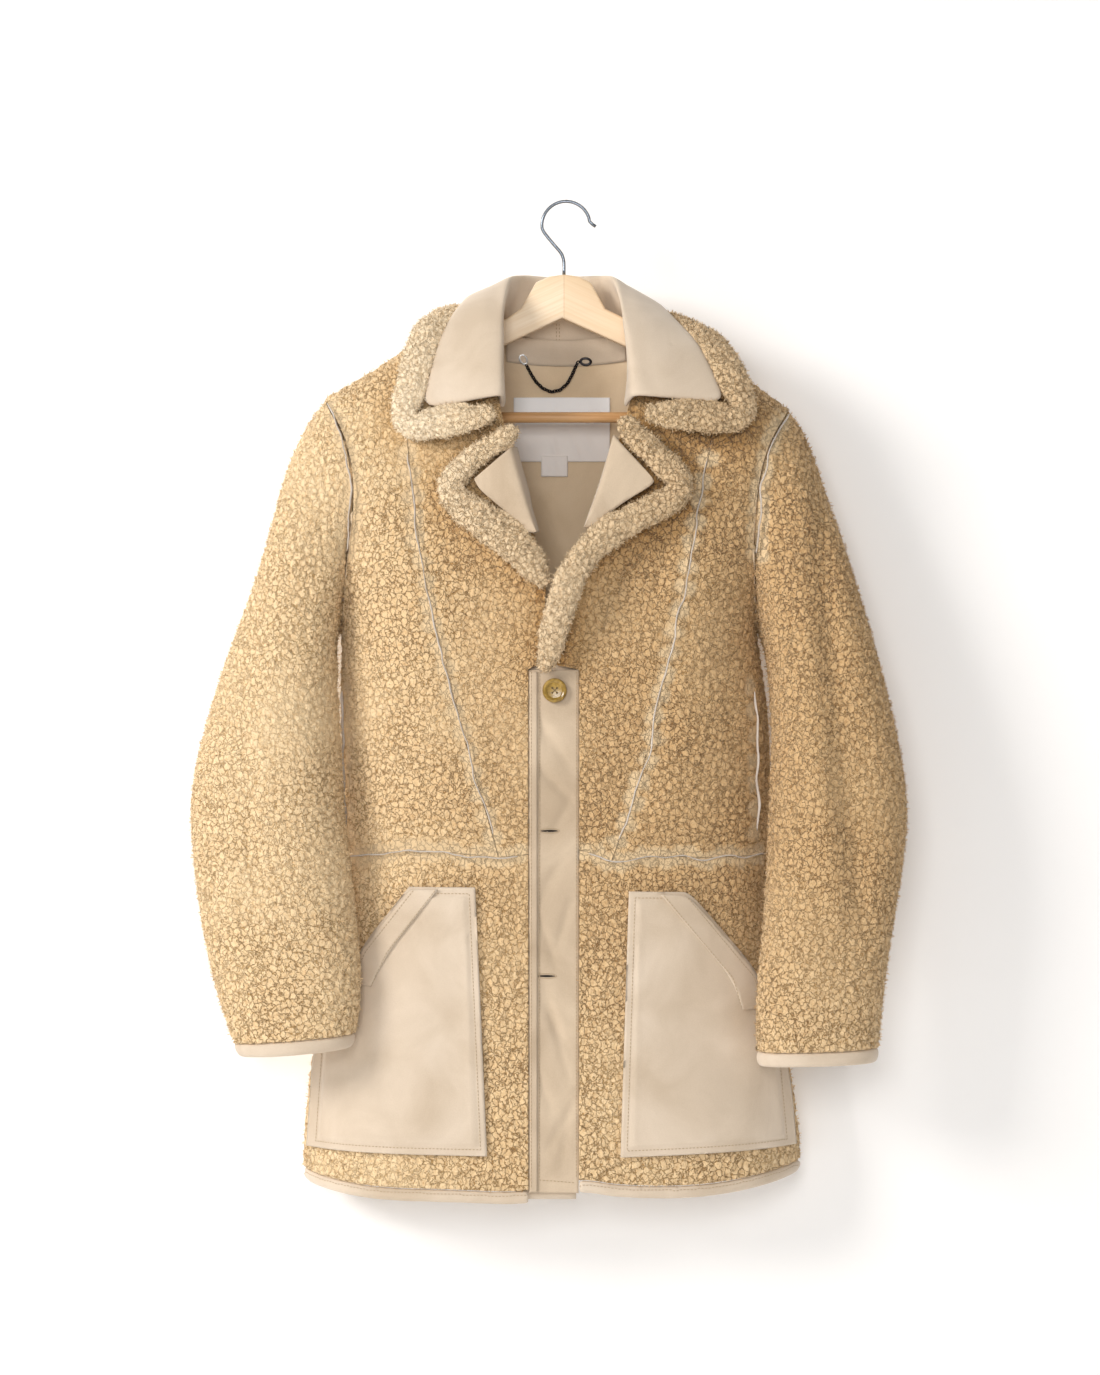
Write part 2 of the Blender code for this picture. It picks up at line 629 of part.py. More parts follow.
def front_panels(side, fleece):
    """One front: its centre piece, its side piece and its skirt.  Returns the seams."""
    sign = -1 if side == "right" else 1
    princess_x = float(smooth(PRINCESS, "z", side, WAIST_Z))
    inner_x = PLACKET_EDGE[side]
    side_low = waist_z(side_x(side, WAIST_Z))
    seam = princess(side, waist_z(princess_x), FRONT_ROWS)
    edge = front_edge(side, waist_z(inner_x), FRONT_ROWS)
    outside = np.concatenate([side_seam(side, side_low, ARMHOLE_FOOT, UNDERARM_ROWS + 1)[:-1],
                              armhole(side)])
    waist_side = line_z(waist_z, outside[0][0], princess_x, 7, -0.8)
    waist_front = line_z(waist_z, princess_x, inner_x, 5)
    waist = np.concatenate([waist_side[:-1], waist_front])
    hem_x = side_x(side, hem_z(sign * 240.0))
    spread = (waist[:, 0] - waist[0, 0]) / (waist[-1, 0] - waist[0, 0])
    hem = np.array([(x, hem_z(x)) for x in hem_x + (inner_x - hem_x) * spread])
    armhole_trim = np.where(np.arange(FRONT_ROWS) >= UNDERARM_ROWS, SEAM, 0.0)
    parts = (
        ("centre", seam, edge, waist_front, line_z(shoulder_z, seam[-1][0], edge[-1][0], 5), SEAM),
        ("side", outside, seam, waist_side, line_z(shoulder_z, outside[-1][0], seam[-1][0], 7),
         armhole_trim),
        ("skirt", side_seam(side, hem[0][1], side_low, 8),
         np.array([(inner_x, z) for z in np.linspace(hem[-1][1], waist[-1][1], 8)]), hem, waist, 0.0))
    for part, outer_edge, inner_edge, foot, top, outer_trim in parts:
        top_trim = SEAM if part == "skirt" else 0.0
        foot_trim = 0.0 if part == "skirt" else SEAM
        if sign < 0:
            grid, trim = patch(outer_edge, inner_edge, foot, top), (outer_trim, SEAM, foot_trim, top_trim)
        else:
            grid = patch(inner_edge, outer_edge, foot[::-1], top[::-1])
            trim = (SEAM, outer_trim, foot_trim, top_trim)
        outer, normals = panel(f"front_{part}_{side}", grid, -1, FLEECE, fleece, trim)
        if part == "skirt":
            bottom = (outer[0], normals[0])
    return {"princess": seam, "outside": outside, "waist": waist, "bottom": bottom}


BACK_SIDE_ROWS = 9


def back_neck(x):
    """Height of the neck seam at the back: a sagging curve between the neck points."""
    left, right = -72.0, 72.0
    share = (x - left) / (right - left)
    sag = BACK_NECK_Z - (shoulder_z(left) + shoulder_z(right)) / 2
    return shoulder_z(left) * (1 - share) + shoulder_z(right) * share + sag * math.sin(math.pi * share) ** 0.7


def back_panel(fleece):
    """The whole back, from side seam to side seam and from hem to shoulders."""
    low_right, low_left = hem_z(-266.0), hem_z(238.0)
    rows = {}
    for side, low in (("right", low_right), ("left", low_left)):
        rows[side] = np.concatenate([side_seam(side, low, ARMHOLE_FOOT, BACK_SIDE_ROWS + 1)[:-1],
                                     armhole(side)])
    left, right = rows["right"], rows["left"]
    t = (1 - np.cos(np.linspace(0, math.pi, 23))) / 2
    t = 0.55 * t + 0.45 * np.linspace(0, 1, 23)
    foot_x = left[0][0] + (right[0][0] - left[0][0]) * t
    foot = np.array([(x, hem_z(x)) for x in foot_x])
    top = np.concatenate([
        line_z(shoulder_z, left[-1][0], -72.0, 8)[:-1],
        line_z(back_neck, -72.0, 72.0, 9)[:-1],
        line_z(shoulder_z, 72.0, right[-1][0], 8)])
    grid = patch(left, right, foot, top)
    outer, normals = on_body(grid, 1)
    for edge, sign in ((0, 1), (-1, -1)):
        outer[BACK_SIDE_ROWS:, edge, 0] += sign * SEAM
    wall("back", outer, outer - FLEECE * normals, fleece)
    return outer[0], normals[0]


# ---------------------------------------------------------------- sleeves
def sleeve_grid(side, table):
    """Outer points and normals of one sleeve: a row a ring, from the armhole down."""
    ring = [2 * math.pi * j / RING for j in range(RING)]
    seam = armhole(side)[::-1]
    first, first_normals = np.zeros((RING, 3)), np.zeros((RING, 3))
    for j in range(RING):
        face = -1 if j <= HALF_RING else 1
        x, z = seam[j if j <= HALF_RING else RING - j]
        y = body_y(x, z, face)
        if j in (0, HALF_RING):
            y = float(smooth(BODY, "z", "side", z))
        first[j] = (x, y, z)
        first_normals[j] = body_normal(x, y, z, face)
    controls = [first]
    for outer_x, outer_z, inner_x, inner_z, bulge, middle_y, deep in table[1:]:
        outer, inner = np.array([outer_x, middle_y, outer_z]), np.array([inner_x, middle_y, inner_z])
        middle, half = (outer + inner) / 2, (outer - inner) / 2
        row = []
        for angle in ring:
            front = math.copysign(abs(math.sin(angle)) ** 0.9, math.sin(angle))
            reach = math.copysign(abs(math.cos(angle)) ** 0.9, math.cos(angle))
            row.append(middle + half * reach + np.array([bulge * math.sin(angle) ** 2, -deep * front, 0.0]))
        controls.append(np.array(row))
    controls = np.array(controls)
    spots = np.linspace(0, len(table) - 1, SLEEVE_STEPS + 1)
    grid = np.array([catmull(controls, s) for s in spots])
    down = np.gradient(grid, axis=0)
    round_ = np.roll(grid, -1, axis=1) - np.roll(grid, 1, axis=1)
    normals = unit(np.cross(down, round_))
    if np.sum(normals[6, 0] * (grid[6, 0] - grid[6].mean(axis=0))) < 0:
        normals = -normals
    for j in range(RING):
        low = (1 - math.cos(ring[j])) / 2
        shared = min(max((0.92 - low) / 0.35, 0.0), 1.0)
        normals[0, j] = unit(shared * first_normals[j] + (1 - shared) * normals[0, j])
        normals[1, j] = unit(0.45 * shared * first_normals[j] + (1 - 0.45 * shared) * normals[1, j])
    for i in range(1, SLEEVE_STEPS + 1):
        share = i / SLEEVE_STEPS
        for on, angle, spread, start, end, out in SLEEVE_FOLDS[1:]:
            if on not in ("both", side) or not start < share < end:
                continue
            swell = math.sin(math.pi * (share - start) / (end - start)) ** 1.2
            for j in range(RING):
                away = (math.degrees(ring[j]) - angle + 180) % 360 - 180
                grid[i, j] += out * swell * math.exp(-((away / spread) ** 2)) * normals[i, j]
    return grid, normals


def sleeve(side, table, fleece, suede):
    """One sleeve: its top and under pieces and the binding round its cuff."""
    grid, normals = sleeve_grid(side, table)
    toward = unit(grid[1] - grid[0])
    grid[0] += 2 * SEAM * toward
    inner = grid - FLEECE * normals
    pieces = (("top", list(range(TOP_SLEEVE_FROM, TOP_SLEEVE_TO + 1))),
              ("under", list(range(TOP_SLEEVE_TO, RING + TOP_SLEEVE_FROM + 1))))
    for part, spots in pieces:
        columns = [j % RING for j in spots]
        outer_part, inner_part = grid[:, columns].copy(), inner[:, columns].copy()
        for edge, beside in ((0, 1), (-1, -2)):
            step = unit(outer_part[:, beside] - outer_part[:, edge]) * SEAM
            outer_part[:, edge] += step
            inner_part[:, edge] += step
        wall(f"sleeve_{part}_{side}", outer_part, inner_part, fleece)
    end, end_normals = grid[-1], normals[-1]
    down = unit(grid[-1] - grid[-2])
    middle = end - 0.5 * FLEECE * end_normals + down * (CUFF_BAND / 2 + 2 * SEAM)
    half = 0.5 * FLEECE
    section = [(-CUFF_BAND / 2, -half), (-CUFF_BAND / 2, half), (0.0, half + 1.2),
               (CUFF_BAND / 2 - 2, half - 0.5), (CUFF_BAND / 2, 0.0), (CUFF_BAND / 2 - 2, 0.5 - half)]
    sweep(f"cuff_band_{side}", middle, down, end_normals, [section] * RING, suede, closed=True)
    return grid, normals


# ---------------------------------------------------------------- bands, placket, pockets
def hem_band(name, bottom, bottom_normals, finish):
    """The suede binding under the edge of a wall, round at its foot."""
    half = FLEECE / 2
    down = np.tile(np.array([0.0, 0.0, -1.0]), (len(bottom), 1))
    middle = bottom - half * bottom_normals + down * (HEM_BAND / 2 + 4 * SEAM)
    section = [(-HEM_BAND / 2, -half), (-HEM_BAND / 2, half), (0.0, half + 1.0),
               (HEM_BAND / 2 - 2, half - 0.5), (HEM_BAND / 2, 0.0), (HEM_BAND / 2 - 2, 0.5 - half)]
    sweep(name, middle, down, bottom_normals, [section] * len(bottom), finish)


def straight_grid(left, right, low, high, columns, rows):
    """A grid of (x, z) over an upright rectangle."""
    return np.array([[(x, z) for x in np.linspace(left, right, columns)]
                     for z in np.linspace(low, high, rows)])


def placket(suede):
    """The button band on the wearer's left front, its turned edge and the stand under it."""
    right, left = PLACKET_EDGE["right"], PLACKET_EDGE["left"]
    sunk = -1.5
    grid = straight_grid(right, left, PLACKET_FOOT_Z, PLACKET_TOP_Z - SEAM, 3, 16)
    panel("placket", grid, -1, PLACKET_THICK, suede, (SEAM, SEAM, 0.0, 0.0), sunk)
    grid = straight_grid(right + 1.0, right + 8.5, PLACKET_FOOT_Z + 1, PLACKET_TOP_Z - 2, 2, 16)
    panel("placket_edge", grid, -1, 1.5, suede, (0.0, 0.0, 0.0, 0.0), sunk + TOUCH + 1.5)
    grid = straight_grid(right - 13.0, left - 2.5, PLACKET_FOOT_Z - 7, -410.0, 3, 16)
    panel("button_stand", grid, -1, SUEDE, suede, (0.0, 0.0, 0.0, 0.0), -FLEECE - TOUCH - 0.6)


def pocket(side, outline, slant, suede):
    """A patch pocket and the facing band along its slanted opening."""
    top_out, top_in, foot_in, foot_out, side_low, side_high = [np.array(p) for p in outline]
    outer_edge = along([foot_out, side_low, side_high, top_out], 10, rounded=False)
    inner_edge = along([foot_in, top_in], 10, rounded=False)
    foot, top = along([foot_out, foot_in], 8, rounded=False), along([top_out, top_in], 8, rounded=False)
    grid = patch(outer_edge, inner_edge, foot, top)
    if side == "left":
        grid = grid[:, ::-1]
    off = POCKET_OFF + SUEDE
    panel(f"pocket_{side}", grid, -1, SUEDE, suede, (0.0, 0.0, 0.0, 0.0), off)
    inward = 1 if side == "right" else -1
    rows = []
    for point in along([0.35 * side_low + 0.65 * side_high, side_high, top_out], 6, rounded=False):
        rows.append([point + np.array([inward * (2.0 + w), -2.0]) for w in (0.0, slant / 2, slant)])
    band = np.array(rows)
    if side == "left":
        band = band[:, ::-1]
    panel(f"pocket_band_{side}", band, -1, BAND_THICK, suede, (0.0, 0.0, 0.0, 0.0),
          off + BAND_OFF + BAND_THICK)


def ridge(name, line, normals, wave, finish, skip=0, lift=RIDGE_LIFT):
    """The raw skin edge that stands along a seam: a thin wavy strip on the seam's points."""
    count = 2 * len(line)
    both = along(np.column_stack([line, normals]), count, rounded=False)[skip:]
    line, normals = both[:, :3], unit(both[:, 3:])
    side = along_path(line, normals)
    steps = np.arange(len(line))
    sway = wave * np.sin(1.7 * steps) * np.sin(math.pi * steps / (len(line) - 1))
    middle = line + (lift + RIDGE_HIGH) * normals + sway[:, None] * side
    section = [(RIDGE_WIDE, 0.0), (0.0, RIDGE_HIGH), (-RIDGE_WIDE, 0.0), (0.0, -RIDGE_HIGH)]
    sweep(name, middle, side, normals, [section] * len(line), finish)


def side_edge(side, seam):
    """Where a side seam's raw edge shows: it comes a little to the front of the side."""
    sign = -1 if side == "right" else 1
    drop = np.clip((ARMHOLE_FOOT - seam[:, 1]) / 60.0, 0.0, 1.0)
    return np.column_stack([seam[:, 0] - sign * SIDE_EDGE_IN[side] * drop, seam[:, 1]])


# ---------------------------------------------------------------- collar and lapels
def rolled_leaf(name, seam, seam_normals, opening, step, roll, edge, finish):
    """A leaf of skin from a seam, over its roll, to its edge.  `seam` lies on the suede
    side of the body's edge, `seam_normals` point out of the body and `opening` points
    from that edge into the opening, where the leaf starts `step` away.  A row runs from
    seam to edge on the suede side, and the fleece side lies one leaf thickness behind."""
    turn = 1 - np.clip(np.sum(unit(roll - seam) * opening, axis=1, keepdims=True), 0, 1)
    start = seam + step * opening
    clear = seam + (LEAF + 1.8) * opening + 4.0 * turn * seam_normals
    lift, fall = unit(roll - seam), edge - roll
    rows = np.stack([start, clear, 0.45 * clear + 0.55 * roll, roll, roll + 0.16 * fall + CREST * lift,
                     roll + 0.55 * fall + 0.6 * CREST * lift, edge], axis=1)
    normals = unit(np.cross(np.gradient(rows, axis=1), np.gradient(rows, axis=0)))
    if np.sum(normals[:, 2] * opening) < 0:
        normals = -normals
    normals[:, 0] = -seam_normals
    normals[:, 1] = unit(turn * opening - (1 - turn) * seam_normals)
    wall(name, rows, rows - LEAF * normals, finish)
    return rows, normals


def neckline():
    """The neck seam from the right front round the back to the left front: points on the
    inside of the body, the body's outward directions, and those into the neck."""
    flats = []
    for side, order in (("right", 1), ("left", -1)):
        top = shoulder_z(edge_x(side, -103.0))
        flats.append([(edge_x(side, z), z) for z in np.linspace(COLLAR_FOOT_Z, top, 8)][::order])
    right, right_normals = on_body(flats[0], -1)
    left, left_normals = on_body(flats[1], -1)
    back, back_normals = on_body(line_z(back_neck, -72.0, 72.0, 9), 1)
    points = np.concatenate([right[:-1], back, left[1:]])
    normals = np.concatenate([right_normals[:-1], back_normals, left_normals[1:]])
    both = along(np.column_stack([points - FLEECE * normals, normals]), COLLAR_STEPS + 1, rounded=False)
    seam, outward = both[:, :3], unit(both[:, 3:])
    opening = unit(np.cross(np.gradient(seam, axis=0), outward))
    if opening[0, 0] < 0:
        opening = -opening
    return seam, outward, opening


def collar(suede, fleece):
    """The collar, stand and leaf in one skin, and the fleece border round its free edges."""
    seam, outward, opening = neckline()
    rows = np.array(COLLAR[1:])
    stations = np.array([catmull(rows, s) for s in np.linspace(0, len(rows) - 1, COLLAR_STEPS + 1)])
    points, normals = rolled_leaf("collar", seam, outward, opening, COLLAR_STEP,
                                  stations[:, :3], stations[:, 3:], suede)
    last = COLLAR_STEPS
    trail = ([(0, c) for c in (4, 5)] + [(r, 6) for r in range(last + 1)] + [(last, c) for c in (5, 4)])
    edge = np.array([points[r, c] for r, c in trail])
    up = np.array([normals[r, c] for r, c in trail])
    outside = along_path(edge, up)
    if np.sum(outside[5:-5] * (points[3:-3, 6] - points[3:-3, 5])[:len(outside) - 10]) < 0:
        outside = -outside
    reach = np.full((len(edge), 1), BORDER_WIDE + 0.9)
    for tip in (2, len(edge) - 3):            # the two tips, where the path turns a corner
        outside[tip] = unit(outside[tip - 1] + outside[tip + 1])
        reach[tip] *= 1.35
    path = edge + reach * outside - 0.5 * LEAF * up
    both = along(np.column_stack([path, up]), BORDER_STEPS)
    border("collar_border", both[:, :3], unit(both[:, 3:]), [BORDER_WIDE] * BORDER_STEPS, fleece)


def border(name, points, normals, widths, finish):
    """A fat soft edge of fleece along a path, tapering at both ends."""
    side = along_path(points, normals)
    count = len(points)
    sections = []
    for k, wide in enumerate(widths):
        end = min(k, count - 1 - k)
        taper = (0.5, 0.85, 1.0)[min(end, 2)]
        sections.append(oval(wide * taper, BORDER_HIGH * taper, 8))
    sweep(name, points, side, normals, sections, finish)


def lapel(side, table, border_table, suede, fleece):
    """A lapel: the suede leaf that rolls out of the front's free edge, and its border."""
    rows = np.array(table[1:])
    stations = np.array([catmull(rows, s) for s in np.linspace(0, len(rows) - 1, 8)])
    seam_flat = [(edge_x(side, z), z) for z in stations[:, 1]]
    seam, outward = on_body(seam_flat, -1, -FLEECE)
    opening = unit(np.cross(np.gradient(seam, axis=0), outward))
    if opening[0, 0] * (1 if side == "right" else -1) < 0:
        opening = -opening
    roll = np.array([on_body([(x, z)], -1, off)[0][0] for x, z, off in stations[:, :3]])
    edge = np.array([on_body([(x, z)], -1, off)[0][0] for x, z, off in stations[:, 3:]])
    rolled_leaf(f"lapel_{side}", seam, outward, opening, LAPEL_STEP, roll, edge, suede)
    rows = np.array(border_table[1:])
    line = np.array([catmull(rows, s) for s in np.linspace(0, len(rows) - 1, 26)])
    both = [on_body([(x, z)], -1, off) for x, z, wide, off in line]
    points, normals = np.array([b[0][0] for b in both]), np.array([b[1][0] for b in both])
    border(f"lapel_border_{side}", points, normals, list(line[:, 2]), fleece)


# ---------------------------------------------------------------- label, chain, button
def inside_back(flat, off):
    """Points inside the back, `off` in front of its suede side, and its directions."""
    points, normals = on_body(flat, 1, -FLEECE - off)
    return points, normals


def label(name, left, right, low, high, off, finish):
    """A woven label sewn flat inside the back."""
    grid = straight_grid(left, right, low, high, 5, 4)
    points, normals = inside_back(grid, off)
    wall(name, points, points - LABEL_THICK * normals, finish)


def hang_chain(chain_finish, ring_finish):
    """The hanging chain between two eyelets on the neck strip, and the eyelets."""
    knots = [inside_back([(x, z)], off)[0][0] for x, z, off in CHAIN]
    points = along(knots, 18)
    wire("hang_chain", points, CHAIN_RADIUS, chain_finish)
    for name, (x, z), tilt in (("eyelet_right", (-43.5, -150.5), 62.0), ("eyelet_left", (20.5, -153.0), 4.0)):
        centre, out = inside_back([(x, z)], EYELET_OFF)
        angle = math.radians(tilt)
        across = np.array([math.cos(angle), 0.0, -math.sin(angle)])
        across = unit(across - np.dot(across, out[0]) * out[0])
        up = unit(np.cross(out[0], across))
        turns = [2 * math.pi * k / 14 for k in range(14)]
        ring = np.array([centre[0] + EYELET[0] * math.cos(t) * across + EYELET[1] * math.sin(t) * up
                         for t in turns])
        radial = unit(ring - centre[0])
        section = oval(EYELET_WIRE, EYELET_WIRE, 6)
        sweep(name, ring, radial, np.tile(out[0], (14, 1)), [section] * 14, ring_finish, closed=True)


def cylinder(name, centre, axis, radius, length, finish, corners=32):
    """A round bar or disc, its axis through `centre`, from Blender's own cylinder."""
    bpy.ops.mesh.primitive_cylinder_add(vertices=corners, radius=radius * MM, depth=length * MM)
    made = bpy.context.object
    made.name = made.data.name = name
    made.location = Vector(centre) * MM
    made.rotation_euler = Vector(axis).to_track_quat("Z", "Y").to_euler()
    made.data.materials.append(finish)
    made.data.shade_smooth()
    made.data.set_sharp_from_angle(angle=math.radians(50))
    for home in list(made.users_collection):
        home.objects.unlink(made)
    jacket.objects.link(made)
    return made


def soften(made, width, segments=2):
    bevel = made.modifiers.new("rounded edges", "BEVEL")
    bevel.width, bevel.segments, bevel.limit_method = width * MM, segments, "ANGLE"


def button(finish):
    """The horn button over the placket's top buttonhole, with its four thread holes."""
    x, z = BUTTON_AT
    centre, out = on_body([(x, z)], -1, -1.5 + 0.6 + BUTTON_THICK / 2)
    disc = cylinder("button", centre[0], out[0], BUTTON_RADIUS, BUTTON_THICK, finish, 28)
    soften(disc, 1.0, 1)
    for k in range(4):
        angle = math.radians(45 + 90 * k)
        across = np.array([math.cos(angle), 0.0, math.sin(angle)]) * 2.6
        drill = cylinder(f"thread_hole_{k}", centre[0] + across, out[0], 0.95, 12.0, finish, 6)
        jacket.objects.unlink(drill)
        cutters.objects.link(drill)
        drill.hide_render, drill.display_type = True, "WIRE"
        cut = disc.modifiers.new(f"thread hole {k}", "BOOLEAN")
        cut.object, cut.operation = drill, "DIFFERENCE"


# ---------------------------------------------------------------- the hanger
def hanger_top(x):
    """Height of an arm's top edge: just under the inside of the shoulder."""
    slope = (shoulder_z(x + 1) - shoulder_z(x - 1)) / 2
    return shoulder_z(x) - (FLEECE + ARM_SUNK) * math.hypot(1, slope)


def hanger(wood, bar_wood, chrome):
    """The flat wooden hanger: head and arms in one, the trouser bar and the wire hook."""
    reach = [80, 110, 140, 165, 185, 200]
    right_top = [(-HEAD_FOOT[0], HEAD_FOOT[1])] + [(-x, hanger_top(-x)) for x in reach]
    left_top = [HEAD_FOOT] + [(x, hanger_top(x)) for x in reach]
    end_z = min(right_top[-1][1], left_top[-1][1])
    foot = BAR_Z - 12.0
    outline = (list(reversed(right_top)) + [HEAD_SHOULDERS[0]] + list(HEAD) + [HEAD_SHOULDERS[1]] + left_top
               + [(HANGER_END - 2, end_z - 8), (HANGER_END, end_z - 15), (HANGER_END - 3, foot + 3),
                  (HANGER_END - 9, foot), (BAR_REACH + 4, foot), (BAR_REACH + 0.4, foot + 4)])
    for sign in (1, -1):
        corner_z = HEAD_APEX[1] - HANGER_SLOPE * (BAR_REACH - 8)
        inner = [(sign * (BAR_REACH + 0.4), BAR_Z + 8.0), (sign * (BAR_REACH - 8), corner_z)]
        outline += inner if sign > 0 else inner[::-1]
        if sign > 0:
            outline.append(HEAD_APEX)
    outline += [(-BAR_REACH - 0.4, foot + 4), (-BAR_REACH - 4, foot), (9 - HANGER_END, foot),
                (3 - HANGER_END, foot + 3), (-HANGER_END, end_z - 15), (2 - HANGER_END, end_z - 8)]
    curve = bpy.data.curves.new("hanger", "CURVE")
    curve.dimensions, curve.fill_mode, curve.extrude = "2D", "BOTH", (HANGER_THICK / 2 - WOOD_ROUND) * MM
    curve.bevel_depth, curve.bevel_resolution, curve.offset = WOOD_ROUND * MM, 1, -WOOD_ROUND * MM
    spline = curve.splines.new("POLY")
    spline.points.add(len(outline) - 1)
    spline.use_cyclic_u = True
    for knot, (x, z) in zip(spline.points, outline):
        knot.co = (x * MM, z * MM, 0.0, 1.0)
    curve.materials.append(wood)
    body = bpy.data.objects.new("hanger", curve)
    body.rotation_euler = (math.pi / 2, 0.0, 0.0)
    jacket.objects.link(body)
    cylinder("hanger_bar", (0.0, 0.0, BAR_Z), (1, 0, 0), BAR_RADIUS, 2 * BAR_REACH, bar_wood, 16)
    centre_z = WIRE_RADIUS - HOOK_RADIUS
    ring = [(HOOK_RADIUS * math.cos(math.radians(a)), centre_z + HOOK_RADIUS * math.sin(math.radians(a)))
            for a in range(8, 190, 13)]
    tip = [(HOOK_RADIUS + 5.5, centre_z - 1.0)]
    stem = [(-23.4, -27.0), (-18.5, -34.0), (-11.0, -43.0), (-5.0, -50.0), (-2.6, -56.0),
            (-2.0, -62.0), (-2.0, HEAD[2][1] + 0.4)]
    path = along([(x, 0.0, z) for x, z in tip + ring + stem], 34)
    wire("hanger_hook", path, WIRE_RADIUS, chrome)


# ---------------------------------------------------------------- the model
for old in list(bpy.data.objects):
    bpy.data.objects.remove(old, do_unlink=True)
jacket = bpy.data.collections.new("fleece_jacket")
cutters = bpy.data.collections.new("cutters")
for home in (jacket, cutters):
    bpy.context.scene.collection.children.link(home)

fleece = material("cream_fleece", (0.72, 0.50, 0.28), 0.95)
suede = material("pale_suede", (0.66, 0.56, 0.44), 0.9)
raw_edge = material("raw_skin_edge", (0.60, 0.55, 0.50), 0.9)
horn = material("horn", (0.33, 0.19, 0.03), 0.35)
cotton = material("white_label", (0.85, 0.82, 0.80), 0.8)
black_metal = material("black_steel", (0.02, 0.02, 0.02), 0.4, 1.0)
chrome = material("chrome", (0.8, 0.8, 0.82), 0.15, 1.0)
maple = material("maple", (0.85, 0.62, 0.36), 0.5)
beech = material("beech", (0.62, 0.35, 0.15), 0.5)

for side, table, outline in (("right", SLEEVE_RIGHT, POCKET_RIGHT), ("left", SLEEVE_LEFT, POCKET_LEFT)):
    seams = front_panels(side, fleece)
    hem_band(f"hem_band_{side}", *seams["bottom"], suede)
    rings, ring_normals = sleeve(side, table, fleece, suede)
    pocket(side, outline, 27.0, suede)
    ridge(f"princess_ridge_{side}", *on_body(seams["princess"][:10], -1), 2.0, raw_edge, skip=1)
    ridge(f"waist_ridge_{side}", *on_body(seams["waist"][1:-1], -1), 2.5, raw_edge)
    loop = list(range(1, HALF_RING - 3))
    ridge(f"armhole_ridge_{side}", rings[0, loop], ring_normals[0, loop], 0.0, raw_edge, lift=2.5)
    side_line = side_edge(side, seams["outside"][:UNDERARM_ROWS])
    ridge(f"side_ridge_{side}", *on_body(side_line, -1), 1.6, raw_edge, skip=1)
hem_band("hem_band_back", *back_panel(fleece), suede)
placket(suede)
collar(suede, fleece)
lapel("right", LAPEL_RIGHT, BORDER_RIGHT, suede, fleece)
lapel("left", LAPEL_LEFT, BORDER_LEFT, suede, fleece)
label("neck_label", -53.0, 45.0, -255.0, -190.0, LABEL_OFF, cotton)
label("size_tab", -25.0, 2.0, -270.0, -249.0, LABEL_OFF + LABEL_THICK + TOUCH, cotton)
hang_chain(black_metal, chrome)
button(horn)
hanger(maple, beech, chrome)
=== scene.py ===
"""The looks of a shearling jacket hanging on its wooden hanger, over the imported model.

Metres, +Z up, the jacket facing -Y.  Tables and sizes below are in millimetres.
"""

import math
import random

import bmesh
import bpy
import numpy as np
from mathutils import Matrix, Vector, kdtree, noise
from mathutils.bvhtree import BVHTree


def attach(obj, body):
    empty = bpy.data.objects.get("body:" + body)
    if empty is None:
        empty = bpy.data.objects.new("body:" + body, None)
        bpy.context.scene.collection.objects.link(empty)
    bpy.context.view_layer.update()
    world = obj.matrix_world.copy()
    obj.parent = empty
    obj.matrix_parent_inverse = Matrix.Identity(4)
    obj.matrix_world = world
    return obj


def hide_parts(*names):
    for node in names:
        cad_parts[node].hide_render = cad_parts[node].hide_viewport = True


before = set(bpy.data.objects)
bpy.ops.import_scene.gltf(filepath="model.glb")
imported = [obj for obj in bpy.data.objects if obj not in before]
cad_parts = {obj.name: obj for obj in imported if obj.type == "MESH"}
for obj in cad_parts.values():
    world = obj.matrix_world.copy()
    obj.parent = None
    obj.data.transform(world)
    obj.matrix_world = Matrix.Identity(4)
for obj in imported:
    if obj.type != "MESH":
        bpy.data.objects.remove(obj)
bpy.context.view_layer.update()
MM = 0.001
noise.seed_set(7)                             # the vector noise takes its seed from the clock otherwise


# ---------------------------------------------------------------- camera, light and wall
# The photo's level view from about three metres away, in soft daylight from the upper
# left, with a near-white wall just behind the coat.  From behind, the wall is clear.
CAMERA_AT, CAMERA_LENS, CAMERA_SENSOR = (-0.016, -3.208, -0.4845), 84.0, 36.0
WALL_Y, FLOOR_Z = 0.082, -1.75


def linear(text):
    """A colour written as sRGB hex, as the shader's linear red, green and blue."""
    parts = [int(text[i:i + 2], 16) / 255 for i in (1, 3, 5)]
    return tuple(c / 12.92 if c <= 0.04045 else ((c + 0.055) / 1.055) ** 2.4 for c in parts) + (1.0,)


def new_material(name, colour, roughness, **settings):
    """A material, its node tree and its shader, with plain values on the shader."""
    made = bpy.data.materials.new(name)
    made.use_nodes = True
    shader = made.node_tree.nodes["Principled BSDF"]
    shader.inputs["Base Color"].default_value = linear(colour)
    shader.inputs["Roughness"].default_value = roughness
    for key, value in settings.items():
        shader.inputs[key.replace("_", " ")].default_value = value
    return made, made.node_tree, shader


def add_node(tree, kind, inputs=(), **properties):
    """A node with its properties set and its inputs given as (name or number, value or socket)."""
    made = tree.nodes.new(kind)
    for key, value in properties.items():
        setattr(made, key, value)
    for key, value in inputs:
        if isinstance(value, bpy.types.NodeSocket):
            tree.links.new(value, made.inputs[key])
        else:
            made.inputs[key].default_value = value
    return made


def maths(tree, operation, *values, clamped=False):
    """One step of arithmetic on sockets or plain numbers; gives its output."""
    made = add_node(tree, "ShaderNodeMath", enumerate(values), operation=operation, use_clamp=clamped)
    return made.outputs[0]


